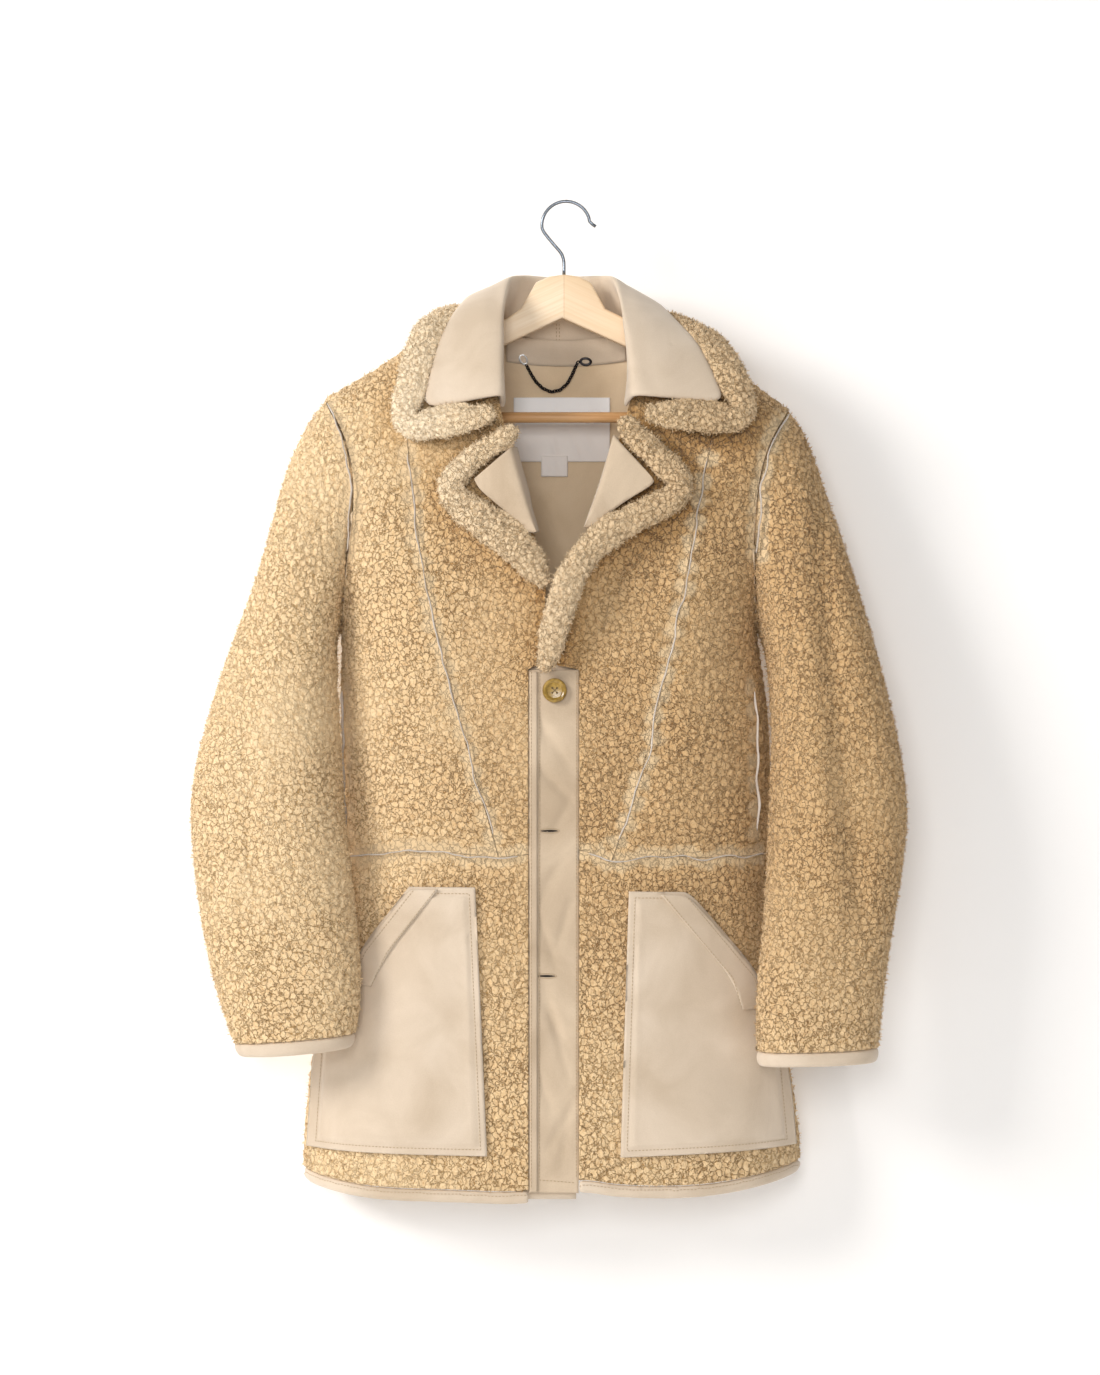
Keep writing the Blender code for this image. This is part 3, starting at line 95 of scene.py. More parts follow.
def area_light(name, place, aim, size, power, colour):
    lamp = bpy.data.lights.new(name, "AREA")
    lamp.size, lamp.energy, lamp.color = size, power, linear(colour)[:3]
    made = bpy.data.objects.new(name, lamp)
    made.location = place
    made.rotation_euler = (Vector(aim) - Vector(place)).to_track_quat("-Z", "Y").to_euler()
    bpy.context.scene.collection.objects.link(made)


def flat_sheet(name, corners, finish):
    mesh = bpy.data.meshes.new(name)
    mesh.from_pydata(corners, [], [(0, 1, 2, 3)])
    mesh.materials.append(finish)
    made = bpy.data.objects.new(name, mesh)
    bpy.context.scene.collection.objects.link(made)


lens = bpy.data.cameras.new("camera")
lens.sensor_fit, lens.sensor_height, lens.lens = "VERTICAL", CAMERA_SENSOR, CAMERA_LENS
camera = bpy.data.objects.new("camera", lens)
camera.location, camera.rotation_euler = CAMERA_AT, (math.pi / 2, 0.0, 0.0)
bpy.context.scene.collection.objects.link(camera)
bpy.context.scene.camera = camera
bpy.context.scene.view_settings.view_transform = "Standard"

area_light("window", (-2.5, -2.1, 0.8), (0.0, 0.0, -0.50), 1.1, 78.0, "#FFFBF7")
area_light("bounce", (-0.3, -3.4, 0.1), (0.0, 0.0, -0.40), 1.0, 38.0, "#FFFFFF")
area_light("behind", (-1.2, 2.4, 0.9), (0.0, 0.0, -0.45), 1.6, 50.0, "#FFFDFB")
world = bpy.data.worlds.new("room")
bpy.context.scene.world = world
world.use_nodes = True
world.node_tree.nodes["Background"].inputs["Color"].default_value = linear("#FFFEFD")
world.node_tree.nodes["Background"].inputs["Strength"].default_value = 0.33

wall, tree, shader = new_material("white wall", "#FBFAF9", 0.9, Emission_Strength=0.08)
shader.inputs["Emission Color"].default_value = linear("#FFFEFD")
facing = add_node(tree, "ShaderNodeNewGeometry")
path = add_node(tree, "ShaderNodeLightPath")
seen_through = maths(tree, "MAXIMUM", facing.outputs["Backfacing"], path.outputs["Is Shadow Ray"])
clear = add_node(tree, "ShaderNodeBsdfTransparent")
either = add_node(tree, "ShaderNodeMixShader",
                  inputs=((0, seen_through), (1, shader.outputs[0]), (2, clear.outputs[0])))
tree.links.new(either.outputs[0], tree.nodes["Material Output"].inputs["Surface"])
flat_sheet("wall", [(-4, WALL_Y, -4), (4, WALL_Y, -4), (4, WALL_Y, 4), (-4, WALL_Y, 4)], wall)
floor = new_material("pale floor", "#EFEDEB", 0.8)[0]
flat_sheet("floor", [(-4, -4, FLOOR_Z), (4, -4, FLOOR_Z), (4, 4, FLOOR_Z), (-4, 4, FLOOR_Z)], floor)


# ---------------------------------------------------------------- the hanging chain
# A short chain of twisted black steel links that hangs between two steel eyelets on the
# neck strip.  Every second link is turned a quarter, as a cable chain's links are.
CHAIN_ROUTE = (
    ("x", "y", "z"),
    (-39.7, 37.8, -158.8), (-35.3, 38.8, -167.1), (-30.2, 39.2, -175.1), (-23.4, 40.6, -181.6),
    (-14.8, 41.2, -185.2), (-5.6, 40.9, -183.1), (1.4, 39.8, -177.0), (6.0, 39.3, -168.8),
    (9.8, 38.8, -160.2), (12.0, 38.2, -156.0),
)
CHAIN_LENGTH, CHAIN_THICK, LINK_PITCH = 80.5, 3.2, 2.7
LINK_LONG, LINK_WIDE, LINK_WIRE = 2.1, 1.6, 0.62          # half length, half width, wire radius


def new_object(name, mesh):
    made = bpy.data.objects.new(name, mesh)
    bpy.context.scene.collection.objects.link(made)
    return made


def evaluated(made):
    """The mesh of an object with its modifiers applied; the object itself goes."""
    mesh = bpy.data.meshes.new_from_object(made.evaluated_get(bpy.context.evaluated_depsgraph_get()))
    bpy.data.objects.remove(made, do_unlink=True)
    return mesh


def oval_ring(name, half_long, half_wide, wire, along_steps, around_steps):
    """A wire bent to an oval, long along X and lying in the XY plane."""
    points = []
    for a in np.linspace(0, 2 * math.pi, along_steps, endpoint=False):
        centre = np.array([half_long * math.cos(a), half_wide * math.sin(a), 0.0])
        outward = np.array([half_wide * math.cos(a), half_long * math.sin(a), 0.0])
        outward /= np.linalg.norm(outward)
        for b in np.linspace(0, 2 * math.pi, around_steps, endpoint=False):
            point = centre + wire * math.cos(b) * outward + (0.0, 0.0, wire * math.sin(b))
            points.append(tuple(point * MM))
    faces = [(k * around_steps + j, k * around_steps + (j + 1) % around_steps,
              (k + 1) % along_steps * around_steps + (j + 1) % around_steps,
              (k + 1) % along_steps * around_steps + j)
             for k in range(along_steps) for j in range(around_steps)]
    mesh = bpy.data.meshes.new(name)
    mesh.from_pydata(points, [], faces)
    mesh.shade_smooth()
    return mesh


def node_group(name, sockets, result):
    """An empty geometry node tree with its inputs and its output named."""
    made = bpy.data.node_groups.new(name, "GeometryNodeTree")
    for key, kind in sockets:
        made.interface.new_socket(key, in_out="INPUT", socket_type=f"NodeSocket{kind}")
    made.interface.new_socket(result, in_out="OUTPUT", socket_type="NodeSocketGeometry")
    return made, add_node(made, "NodeGroupInput").outputs


def run_nodes(carrier, group, values):
    """The mesh that a geometry node tree makes of an object; the object itself goes."""
    modifier = carrier.modifiers.new(group.name, "NODES")
    modifier.node_group = group
    inputs = {item.name: item.identifier for item in group.interface.items_tree
              if item.in_out == "INPUT"}
    for name, value in values.items():
        modifier[inputs[name]] = value
    return evaluated(carrier)


def line_tree():
    """Geometry nodes that set a small part out along lines at an even spacing, each one
    along the line and turned about it from the last."""
    made, given = node_group("parts along a line", (
        ("Line", "Geometry"), ("Part", "Object"), ("Spacing", "Float"), ("Turn", "Float"),
        ("Finish", "Material")), "Parts")
    curve = add_node(made, "GeometryNodeMeshToCurve", inputs=(("Mesh", given["Line"]),))
    even = add_node(made, "GeometryNodeResampleCurve", mode="LENGTH",
                    inputs=(("Curve", curve.outputs[0]), ("Length", given["Spacing"])))
    part = add_node(made, "GeometryNodeObjectInfo", inputs=(("Object", given["Part"]),))
    tangent = add_node(made, "GeometryNodeInputTangent")
    lie = add_node(made, "FunctionNodeAlignRotationToVector", axis="X",
                   inputs=(("Vector", tangent.outputs[0]),))
    order = add_node(made, "GeometryNodeInputIndex")
    angle = maths(made, "MULTIPLY", order.outputs[0], given["Turn"])
    spin = add_node(made, "FunctionNodeAxisAngleToRotation",
                    inputs=(("Axis", (1.0, 0.0, 0.0)), ("Angle", angle)))
    turned = add_node(made, "FunctionNodeRotateRotation", rotation_space="LOCAL",
                      inputs=(("Rotation", lie.outputs[0]), ("Rotate By", spin.outputs[0])))
    placed = add_node(made, "GeometryNodeInstanceOnPoints",
                      inputs=(("Points", even.outputs[0]), ("Instance", part.outputs["Geometry"]),
                              ("Rotation", turned.outputs[0])))
    real = add_node(made, "GeometryNodeRealizeInstances", inputs=((0, placed.outputs[0]),))
    finish = add_node(made, "GeometryNodeSetMaterial",
                      inputs=(("Geometry", real.outputs[0]), ("Material", given["Finish"])))
    made.links.new(finish.outputs[0], add_node(made, "NodeGroupOutput").inputs[0])
    return made


LINE_TREE = line_tree()


def parts_along(name, lines, part_mesh, spacing, turn, finish):
    """One mesh of small parts set along lines, each line a row of points in metres."""
    points, edges = [], []
    for line in lines:
        edges += [(len(points) + k, len(points) + k + 1) for k in range(len(line) - 1)]
        points += [tuple(p) for p in line]
    mesh = bpy.data.meshes.new(name)
    mesh.from_pydata(points, edges, [])
    part = new_object(f"{name} part", part_mesh)
    mesh = run_nodes(new_object(name, mesh), LINE_TREE, {
        "Part": part, "Spacing": spacing * MM, "Turn": turn, "Finish": finish})
    bpy.data.objects.remove(part, do_unlink=True)
    return new_object(name, mesh)


black_steel = new_material("blackened steel", "#3C3A3C", 0.30, Metallic=1.0)[0]
route = np.array(CHAIN_ROUTE[1:]) * MM
link = oval_ring("link", LINK_LONG, LINK_WIDE, LINK_WIRE, 12, 6)
link.transform(Matrix.Rotation(math.pi / 4, 4, "X"))
chain = parts_along("hanging_chain", [route], link, LINK_PITCH, math.radians(90), black_steel)
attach(chain, "root")
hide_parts("hang_chain")


# ---------------------------------------------------------------- the fleece
# Skins with the wool side out: long curls felted into soft knobs with dark cracks between
# them, the cracks' dark partly painted shade, shaved short and pale beside every seam.  The knobs run on
# from piece to piece.
KNOB, BORDER_KNOB = 8.2, 5.6                  # how far apart the knobs of wool stand
PANELS = (                                    # cut size: width, length, area in cm2; fibres to a cm2
    ("node", "wide", "long", "area", "fibres", "knob"),
    ("back", 560, 890, 3840, 3, KNOB),
    ("front_centre_right", 190, 600, 516, 13, KNOB), ("front_centre_left", 190, 600, 498, 13, KNOB),
    ("front_side_right", 200, 540, 590, 11, KNOB), ("front_side_left", 200, 540, 539, 11, KNOB),
    ("front_skirt_right", 275, 345, 824, 12, KNOB), ("front_skirt_left", 265, 345, 774, 12, KNOB),
    ("sleeve_top_right", 215, 660, 1089, 13, KNOB), ("sleeve_top_left", 210, 660, 1039, 13, KNOB),
    ("sleeve_under_right", 180, 650, 878, 6, KNOB), ("sleeve_under_left", 175, 650, 838, 6, KNOB),
    ("collar_border", 70, 700, 287, 26, BORDER_KNOB),
    ("lapel_border_right", 60, 240, 77, 26, BORDER_KNOB),
    ("lapel_border_left", 60, 310, 108, 26, BORDER_KNOB),
)
CELL, BACK_CELL, BORDER_CELL = 3.2, 3.9, 2.4  # how fine the mesh is that carries the knobs
PILE_DEEP, PILE_PROUD = 1.9, 0.9              # how deep cracks are cut, and how proud knobs stand
KNOB_BEND, CRACK_SHARE = 1.8, 0.62            # how far cracks wander, and how wide they open
SHAVED_WIDE, SHAVED_DEEP = 10.0, 2.2          # the flattened strip beside a raw seam edge
EDGED = (("collar_border", "collar"), ("lapel_border_right", "lapel_right"),
         ("lapel_border_left", "lapel_left"))
HUG_WITHIN, HUG_LAP, HUG_NEAR = 4.5, 0.5, 2.2  # the border closes on a leaf and laps over it,
BORDER_PLUMP, BORDER_LEAST = 1.3, 1.2         # and is fuller and paler than the fronts
COLLAR_SINK, SINK_FROM, SINK_OVER = 9.0, -130.0, 35.0     # lower behind the leaf, by height
PLACKET_DROP, DROP_FROM, DROP_OVER = 12.0, -425.0, 30.0   # longer where it meets the placket
PAINTED_SHADE_REACH, PAINTED_SHADE_LEFT, PAINTED_SHADE_RIGHT = 26.0, 1.9, 0.9         # painted shade on the fronts beside the lapels
FLEECE_FOLDS = {                              # soft folds: from (x, z) to (x, z), half width, depth
    "sleeve_top_left": ((248, -235, 267, -547, 11, 4.2), (267, -520, 292, -720, 12, 4.0),
                        (224, -250, 243, -560, 13, -3.6), (243, -540, 266, -730, 13, -3.2)),
    "sleeve_top_right": ((-300, -300, -322, -560, 14, 2.6), (-318, -520, -300, -730, 13, 2.6)),
    "front_side_left": ((184, -446, 128, -476, 8, 2.6), (176, -500, 140, -520, 7, 1.8)),
    "front_centre_left": ((70, -330, 20, -450, 10, 2.6), (104, -300, 84, -420, 9, 2.2)),
    "front_centre_right": ((-88, -300, -70, -420, 11, 2.2),),
}
FIBRE_WIDE, FIBRE_TALL = 0.5, 2.8
SEAM_EDGES = ("princess_ridge_", "waist_ridge_", "armhole_ridge_", "side_ridge_")


def unit(value):
    return min(max(value, 0.0), 1.0)


def mesh_points(mesh):
    co = np.empty(len(mesh.vertices) * 3)
    mesh.vertices.foreach_get("co", co)
    return co.reshape(-1, 3)


def cad_points(node):
    return mesh_points(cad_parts[node].data)


def marked_copy(node, middle, levels, tube=False, turn=0.85):
    """A smooth copy of a CAD node's mesh, crisp only where faces turn by more than `turn`.
    Its faces' material number says which side they lie on: 0 outside, 1 inside (nearer
    `middle`), 2 the rim between.  A tube is smooth all round and has no inside."""
    bm = bmesh.new()
    bm.from_mesh(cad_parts[node].data)
    bmesh.ops.remove_doubles(bm, verts=bm.verts[:], dist=0.00002)
    bmesh.ops.join_triangles(bm, faces=bm.faces[:], angle_face_threshold=0.55,
                             angle_shape_threshold=1.6)
    crease = bm.edges.layers.float.new("crease_edge")
    for face in bm.faces:
        face.material_index = 0 if tube else 2
    if not tube:
        for edge in bm.edges:
            if len(edge.link_faces) == 2 and edge.calc_face_angle() > turn:
                edge[crease] = 1.0
        regions, seen = [], set()
        for face in bm.faces:
            if face in seen:
                continue
            region, queue = [], [face]
            seen.add(face)
            while queue:
                at = queue.pop()
                region.append(at)
                for edge in at.edges:
                    for other in edge.link_faces:
                        if edge[crease] == 0 and other not in seen:
                            seen.add(other)
                            queue.append(other)
            outward = sum(f.calc_area() * f.normal.dot(f.calc_center_median() - Vector(middle))
                          for f in region)
            regions.append((sum(f.calc_area() for f in region), outward, region))
        regions.sort(key=lambda r: -r[0])
        for mark, (_, _, region) in enumerate(sorted(regions[:2], key=lambda r: -r[1])):
            for face in region:
                face.material_index = mark
    mesh = bpy.data.meshes.new(node)
    bm.to_mesh(mesh)
    bm.free()
    while len(mesh.materials) < 3:
        mesh.materials.append(None)
    made = new_object(node, mesh)
    smooth = made.modifiers.new("smooth", "SUBSURF")
    smooth.levels = smooth.render_levels = levels
    return evaluated(made)


def refined(mesh, longest):
    """Splits the outer side's edges until none is longer than `longest` millimetres."""
    bm = bmesh.new()
    bm.from_mesh(mesh)
    for _ in range(4):
        edges = [e for e in bm.edges if e.calc_length() > longest * MM
                 and any(f.material_index == 0 for f in e.link_faces)]
        if not edges:
            break
        bmesh.ops.subdivide_edges(bm, edges=edges, cuts=1, use_grid_fill=True)
    bm.to_mesh(mesh)
    bm.free()
    return mesh


def read(mesh):
    """A mesh's points, its outside's directions at them, and which points lie there."""
    co = mesh_points(mesh)
    mesh.calc_loop_triangles()
    corners = np.empty(len(mesh.loop_triangles) * 3, np.int64)
    mesh.loop_triangles.foreach_get("vertices", corners)
    owner = np.empty(len(mesh.loop_triangles), np.int64)
    mesh.loop_triangles.foreach_get("polygon_index", owner)
    mark = np.empty(len(mesh.polygons), np.int64)
    mesh.polygons.foreach_get("material_index", mark)
    corners = corners.reshape(-1, 3)[mark[owner] == 0]
    a, b, c = co[corners[:, 0]], co[corners[:, 1]], co[corners[:, 2]]
    flat = np.cross(b - a, c - a)
    direction = np.zeros_like(co)
    for k in range(3):
        np.add.at(direction, corners[:, k], flat)
    length = np.linalg.norm(direction, axis=1)
    outside = length > 0
    direction[outside] /= length[outside, None]
    return co, direction, outside


def tree_of(points):
    made = kdtree.KDTree(len(points))
    for k, point in enumerate(points):
        made.insert(point, k)
    made.balance()
    return made


def surface_tree(mesh):
    bm = bmesh.new()
    bm.from_mesh(mesh)
    made = BVHTree.FromBMesh(bm)
    bm.free()
    return made


def spread(points, apart, seed):
    """Some of the points, in a shuffled order, no two nearer than `apart` millimetres."""
    order = list(range(len(points)))
    random.Random(seed).shuffle(order)
    cell, taken, chosen = apart * MM, {}, []
    for k in order:
        point = points[k]
        home = tuple(int(math.floor(c / cell)) for c in point)
        near = [q for dx in (-1, 0, 1) for dy in (-1, 0, 1) for dz in (-1, 0, 1)
                for q in taken.get((home[0] + dx, home[1] + dy, home[2] + dz), ())]
        if all((point[0] - q[0]) ** 2 + (point[1] - q[1]) ** 2 + (point[2] - q[2]) ** 2
               > cell * cell for q in near):
            taken.setdefault(home, []).append(point)
            chosen.append(point)
    return chosen


def store(mesh, name, values):
    layer = mesh.attributes.new(name, "FLOAT", "POINT")
    layer.data.foreach_set("value", np.ascontiguousarray(values, dtype=np.float32))


def crease_depth(x, z, table):
    """How far the creases sink a point, soft across and fading to both ends."""
    total = 0.0
    for x0, z0, x1, z1, wide, deep in table:
        dx, dz = x1 - x0, z1 - z0
        t = ((x - x0) * dx + (z - z0) * dz) / (dx * dx + dz * dz)
        if -0.15 < t < 1.15:
            off = ((x - x0) * dz - (z - z0) * dx) / math.hypot(dx, dz) / wide
            total += deep * math.exp(-off * off) * math.sin(math.pi * (t + 0.15) / 1.3)
    return total


def mapped(tree, value, low, high, to_low=0.0, to_high=1.0, kind="SMOOTHSTEP"):
    """A value carried from one range to another; gives its output."""
    made = add_node(tree, "ShaderNodeMapRange", interpolation_type=kind,
                    inputs=(("Value", value), ("From Min", low), ("From Max", high),
                            ("To Min", to_low), ("To Max", to_high)))
    return made.outputs[0]


def mixed(tree, amount, first, second, blend="MIX"):
    """Two colours mixed or multiplied; gives its output."""
    made = add_node(tree, "ShaderNodeMix", data_type="RGBA", blend_type=blend,
                    inputs=((0, amount), (6, first), (7, second)))
    return made.outputs[2]


def clouded(tree, place, scale, detail, output="Fac", **more):
    """Cloudy noise of `scale` to a metre; gives its value or its colour."""
    inputs = {"Vector": place, "Scale": scale, "Detail": detail, **more}
    return add_node(tree, "ShaderNodeTexNoise", inputs.items()).outputs[output]


def ramped(tree, value, stops):
    """A value turned into colours at (position, colour) stops; gives its output."""
    ramp = add_node(tree, "ShaderNodeValToRGB", inputs=((0, value),))
    while len(ramp.color_ramp.elements) < len(stops):
        ramp.color_ramp.elements.new(0.5)
    for element, (at, colour) in zip(ramp.color_ramp.elements, stops):
        element.position, element.color = at, linear(colour)
    return ramp.outputs[0]


def faced(tree, shader, colour, strength, distance, height):
    """Gives a shader its colour and the bump of its surface."""
    tree.links.new(colour, shader.inputs["Base Color"])
    bump = add_node(tree, "ShaderNodeBump", inputs=(("Strength", strength), ("Distance", distance),
                                                    ("Height", height)))
    tree.links.new(bump.outputs[0], shader.inputs["Normal"])


def fleece_material():
    """Cream wool: pale curl tips, honey-brown cracks deepened with painted shade, painted shade across
    the fronts, and shaved strips at the seams.
    """
    made, tree, shader = new_material("cream fleece", "#E0C592", 0.95,
                                      Sheen_Weight=0.35, Sheen_Roughness=0.5)
    shader.inputs["Sheen Tint"].default_value = linear("#FFF1D6")
    place = add_node(tree, "ShaderNodeTexCoord").outputs["Object"]
    apart = add_node(tree, "ShaderNodeSeparateXYZ", inputs=(("Vector", place),))
    pile_and_painted_shade = add_node(tree, "ShaderNodeAttribute", attribute_name="pile_and_painted_shade").outputs["Fac"]
    shaved = add_node(tree, "ShaderNodeAttribute", attribute_name="shaved").outputs["Fac"]
    curls = clouded(tree, place, 560.0, 4.0)
    mottle = clouded(tree, place, 9.0, 3.0)
    # Clumps a little longer than wide, bent out of true, with a dark crack round each; the crack's brown
    # is partly its own and partly painted shade.
    bend = clouded(tree, place, 240.0, 2.0, output="Color")
    pushed = add_node(tree, "ShaderNodeVectorMath", operation="MULTIPLY_ADD",
                      inputs=((0, bend), (1, (0.0075, 0.0075, 0.0075)), (2, place)))
    long_way = add_node(tree, "ShaderNodeVectorMath", operation="MULTIPLY",
                        inputs=((0, pushed.outputs[0]), (1, (1.0, 1.0, 0.78))))
    edge = add_node(tree, "ShaderNodeTexVoronoi", feature="DISTANCE_TO_EDGE",
                    inputs=(("Vector", long_way.outputs[0]), ("Scale", 178.0), ("Randomness", 1.0)))
    clump = mapped(tree, edge.outputs["Distance"], 0.0, 0.085)
    opened = mapped(tree, mottle, 0.35, 0.65, 0.3, 1.0, kind="LINEAR")
    # Painted shade: toward the wearer's left, which the window light grazes, the cracks are darker in
    # colour and deeper in bump.
    painted_shade_leftward = mapped(tree, apart.outputs["X"], -0.16, 0.12, 0.0, 0.25)
    crack = maths(tree, "MULTIPLY", maths(tree, "SUBTRACT", 1.0, clump),
                  maths(tree, "ADD", opened, painted_shade_leftward))
    # The height of the pile, cracked and broken by its curls, picks the colour: its low, dark end is
    # partly the cracks' own brown and partly painted shade, and the pile attribute also carries painted
    # shade beside the lapels.
    broken = maths(tree, "MULTIPLY_ADD", curls, 0.26, 0.42)
    standing = maths(tree, "MULTIPLY_ADD", pile_and_painted_shade, 0.17, broken)
    cracked = maths(tree, "MULTIPLY_ADD", crack, -0.31, standing)
    wool = ramped(tree, cracked, ((0.04, "#6E4C27"), (0.26, "#A97B45"), (0.48, "#CFA970"),
                                  (0.70, "#F1D8AF"), (0.98, "#FFF3DC")))
    warm = mixed(tree, mottle, wool, linear("#F8ECDA"), "MULTIPLY")
    # Painted shade darkens the skins toward the coat's middle and on the wearer's left, with less of it
    # lower down.
    inward = mapped(tree, apart.outputs["X"], -0.24, -0.05, 0.0, 0.35)
    painted_shade_by_height = mapped(tree, apart.outputs["Z"], -0.93, -0.62, 0.2, 1.0)
    painted_shade_amount = maths(tree, "MULTIPLY", maths(tree, "ADD", painted_shade_leftward, inward), painted_shade_by_height)
    painted_shade_wool = mixed(tree, painted_shade_amount, warm, linear("#CDB692"), "MULTIPLY")
    fuzz = maths(tree, "MULTIPLY_ADD", curls, 0.6, -0.3)
    strip = maths(tree, "ADD", shaved, fuzz, clamped=True)
    strip_only = maths(tree, "MULTIPLY", strip, shaved, clamped=True)
    pale = mixed(tree, strip_only, painted_shade_wool, linear("#E0C49A"))
    # Crimped curls of one to two millimetres over the clumps.
    crimp = add_node(tree, "ShaderNodeTexVoronoi",
                     inputs=(("Vector", pushed.outputs[0]), ("Scale", 520.0)))
    depth = maths(tree, "MULTIPLY_ADD", crimp.outputs["Distance"], 0.35, curls)
    faced(tree, shader, pale, 0.8, 0.0012, maths(tree, "MULTIPLY_ADD", crack, -2.6, depth))
    return made


def suede_material(name, pale, dark):
    """Napped suede: cloudy where the nap lies this way and that, with a fine tooth."""
    made, tree, shader = new_material(name, pale, 0.92, Sheen_Weight=0.25, Sheen_Roughness=0.6)
    place = add_node(tree, "ShaderNodeTexCoord").outputs["Object"]
    cloud = clouded(tree, place, 16.0, 5.0, Distortion=0.6)
    tooth = clouded(tree, place, 900.0, 2.0)
    both = maths(tree, "MULTIPLY_ADD", tooth, 0.22, cloud)
    faced(tree, shader, ramped(tree, both, ((0.38, dark), (0.80, pale))), 0.25, 0.0005, tooth)
    return made


def dress(mesh, outside, inside=None):
    for k, finish in enumerate((outside, inside or outside, inside or outside)):
        mesh.materials[k] = finish
    mesh.shade_smooth()


def fuzz_tree():
    """Geometry nodes that stand short stray fibres on the unshorn outside of a skin."""
    made, given = node_group("stray fibres", (
        ("Skin", "Geometry"), ("Fibre", "Object"), ("Density", "Float"), ("Seed", "Int")), "Fibres")
    side = add_node(made, "GeometryNodeInputMaterialIndex")
    shaved = add_node(made, "GeometryNodeInputNamedAttribute", data_type="FLOAT",
                      inputs=(("Name", "shaved"),))
    bare = maths(made, "ADD", side.outputs[0], shaved.outputs[0])
    points = add_node(made, "GeometryNodeDistributePointsOnFaces",
                      inputs=(("Mesh", given["Skin"]), ("Density", given["Density"]),
                              ("Selection", maths(made, "LESS_THAN", bare, 0.4)),
                              ("Seed", given["Seed"])))
    tilt = add_node(made, "FunctionNodeRandomValue", data_type="FLOAT_VECTOR",
                    inputs=((0, (-0.9, -0.9, -3.1)), (1, (0.9, 0.9, 3.1))))
    lean = add_node(made, "FunctionNodeEulerToRotation", inputs=((0, tilt.outputs[0]),))
    turned = add_node(made, "FunctionNodeRotateRotation", rotation_space="LOCAL",
                      inputs=(("Rotation", points.outputs["Rotation"]), ("Rotate By", lean.outputs[0])))
    size = add_node(made, "FunctionNodeRandomValue", data_type="FLOAT", inputs=((2, 0.5), (3, 1.3)))
    part = add_node(made, "GeometryNodeObjectInfo", inputs=(("Object", given["Fibre"]),))
    placed = add_node(made, "GeometryNodeInstanceOnPoints",
                      inputs=(("Points", points.outputs["Points"]),
                              ("Instance", part.outputs["Geometry"]),
                              ("Rotation", turned.outputs[0]), ("Scale", size.outputs[1])))
    real = add_node(made, "GeometryNodeRealizeInstances", inputs=((0, placed.outputs[0]),))
    made.links.new(real.outputs[0], add_node(made, "NodeGroupOutput").inputs[0])
    return made


def fibre_part():
    """One stray fibre: a bent sliver of wool, standing on the origin."""
    half, tall = FIBRE_WIDE / 2 * MM, FIBRE_TALL * MM
    mesh = bpy.data.meshes.new("fibre")
    mesh.from_pydata([(-half, 0, -0.15 * tall), (half, 0, -0.15 * tall),
                      (0.7 * half, 0.25 * tall, 0.6 * tall), (-0.3 * half, 0.75 * tall, tall)],
                     [], [(0, 1, 2), (0, 2, 3)])
    mesh.materials.append(fleece)
    mesh.shade_smooth()
    return new_object("fibre", mesh)


fleece = fleece_material()
FUZZ_TREE, fibre = fuzz_tree(), fibre_part()
suede = suede_material("pale suede", "#DAC9B4", "#C6B39B")
# A darker suede; on the lapels its darkness is painted shade.
darker_suede_painted_shade = suede_material("darker suede with painted shade", "#D0BCA2", "#B5A086")
# The suede inside the skins is painted lighter than the outer suede: painted light where the inside lies
# in shade.
inside_suede_painted_light = suede_material("suede inside, painted lighter", "#ECD5B5", "#DAC19E")
cut_skin = suede_material("cut edge of the skin", "#D0C6BB", "#B3A698")

BODY_MIDDLE = (-0.016, 0.012, -0.60)
ridge_tree = tree_of(np.concatenate([cad_points(n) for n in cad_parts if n.startswith(SEAM_EDGES)]))
fleece_meshes = {}
for node, wide, long, area, fibres, spacing in PANELS[1:]:
    middle = BODY_MIDDLE if node.startswith(("front", "back")) else tuple(cad_points(node).mean(axis=0))
    cell = BACK_CELL if node == "back" else BORDER_CELL if spacing == BORDER_KNOB else CELL
    fleece_meshes[node] = refined(marked_copy(node, middle, 2, tube=spacing == BORDER_KNOB), cell)
surfaces = {node: read(mesh) for node, mesh in fleece_meshes.items()}

# The fleece round the collar and lapels hugs the suede's edge, lies low behind the leaf
# and runs down to the placket.
leaves = {}
for node, edged in EDGED:
    co, direction, outside = surfaces[node]
    leaves[node] = surface_tree(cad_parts[edged].data)
    for k in range(len(co)):
        place, _, _, gap = leaves[node].find_nearest(Vector(co[k]))
        if 0 < gap < HUG_WITHIN * MM:
            drawn = min(1.0, 2 - gap / (HUG_WITHIN / 2 * MM))
            co[k] += (np.array(place) - co[k]) * drawn * (1 + HUG_LAP * MM / gap)
        height = co[k, 2] / MM
        if node == "collar_border":
            co[k, 2] -= COLLAR_SINK * MM * unit((height - SINK_FROM) / SINK_OVER)
        if node == "lapel_border_left":
            co[k, 2] -= PLACKET_DROP * MM * unit((DROP_FROM - height) / DROP_OVER)
# Painted shade: the fronts' colour is darkened near the collar and lapel borders.
painted_shade_edges = tree_of(np.concatenate([surfaces[node][0] for node, _ in EDGED]))
knobs = {}
for spacing in (BORDER_KNOB, KNOB):
    points = np.concatenate([surfaces[row[0]][0][surfaces[row[0]][2]]
                             for row in PANELS[1:] if row[5] == spacing])
    knobs[spacing] = tree_of(spread(points[::2].tolist(), spacing, 7))

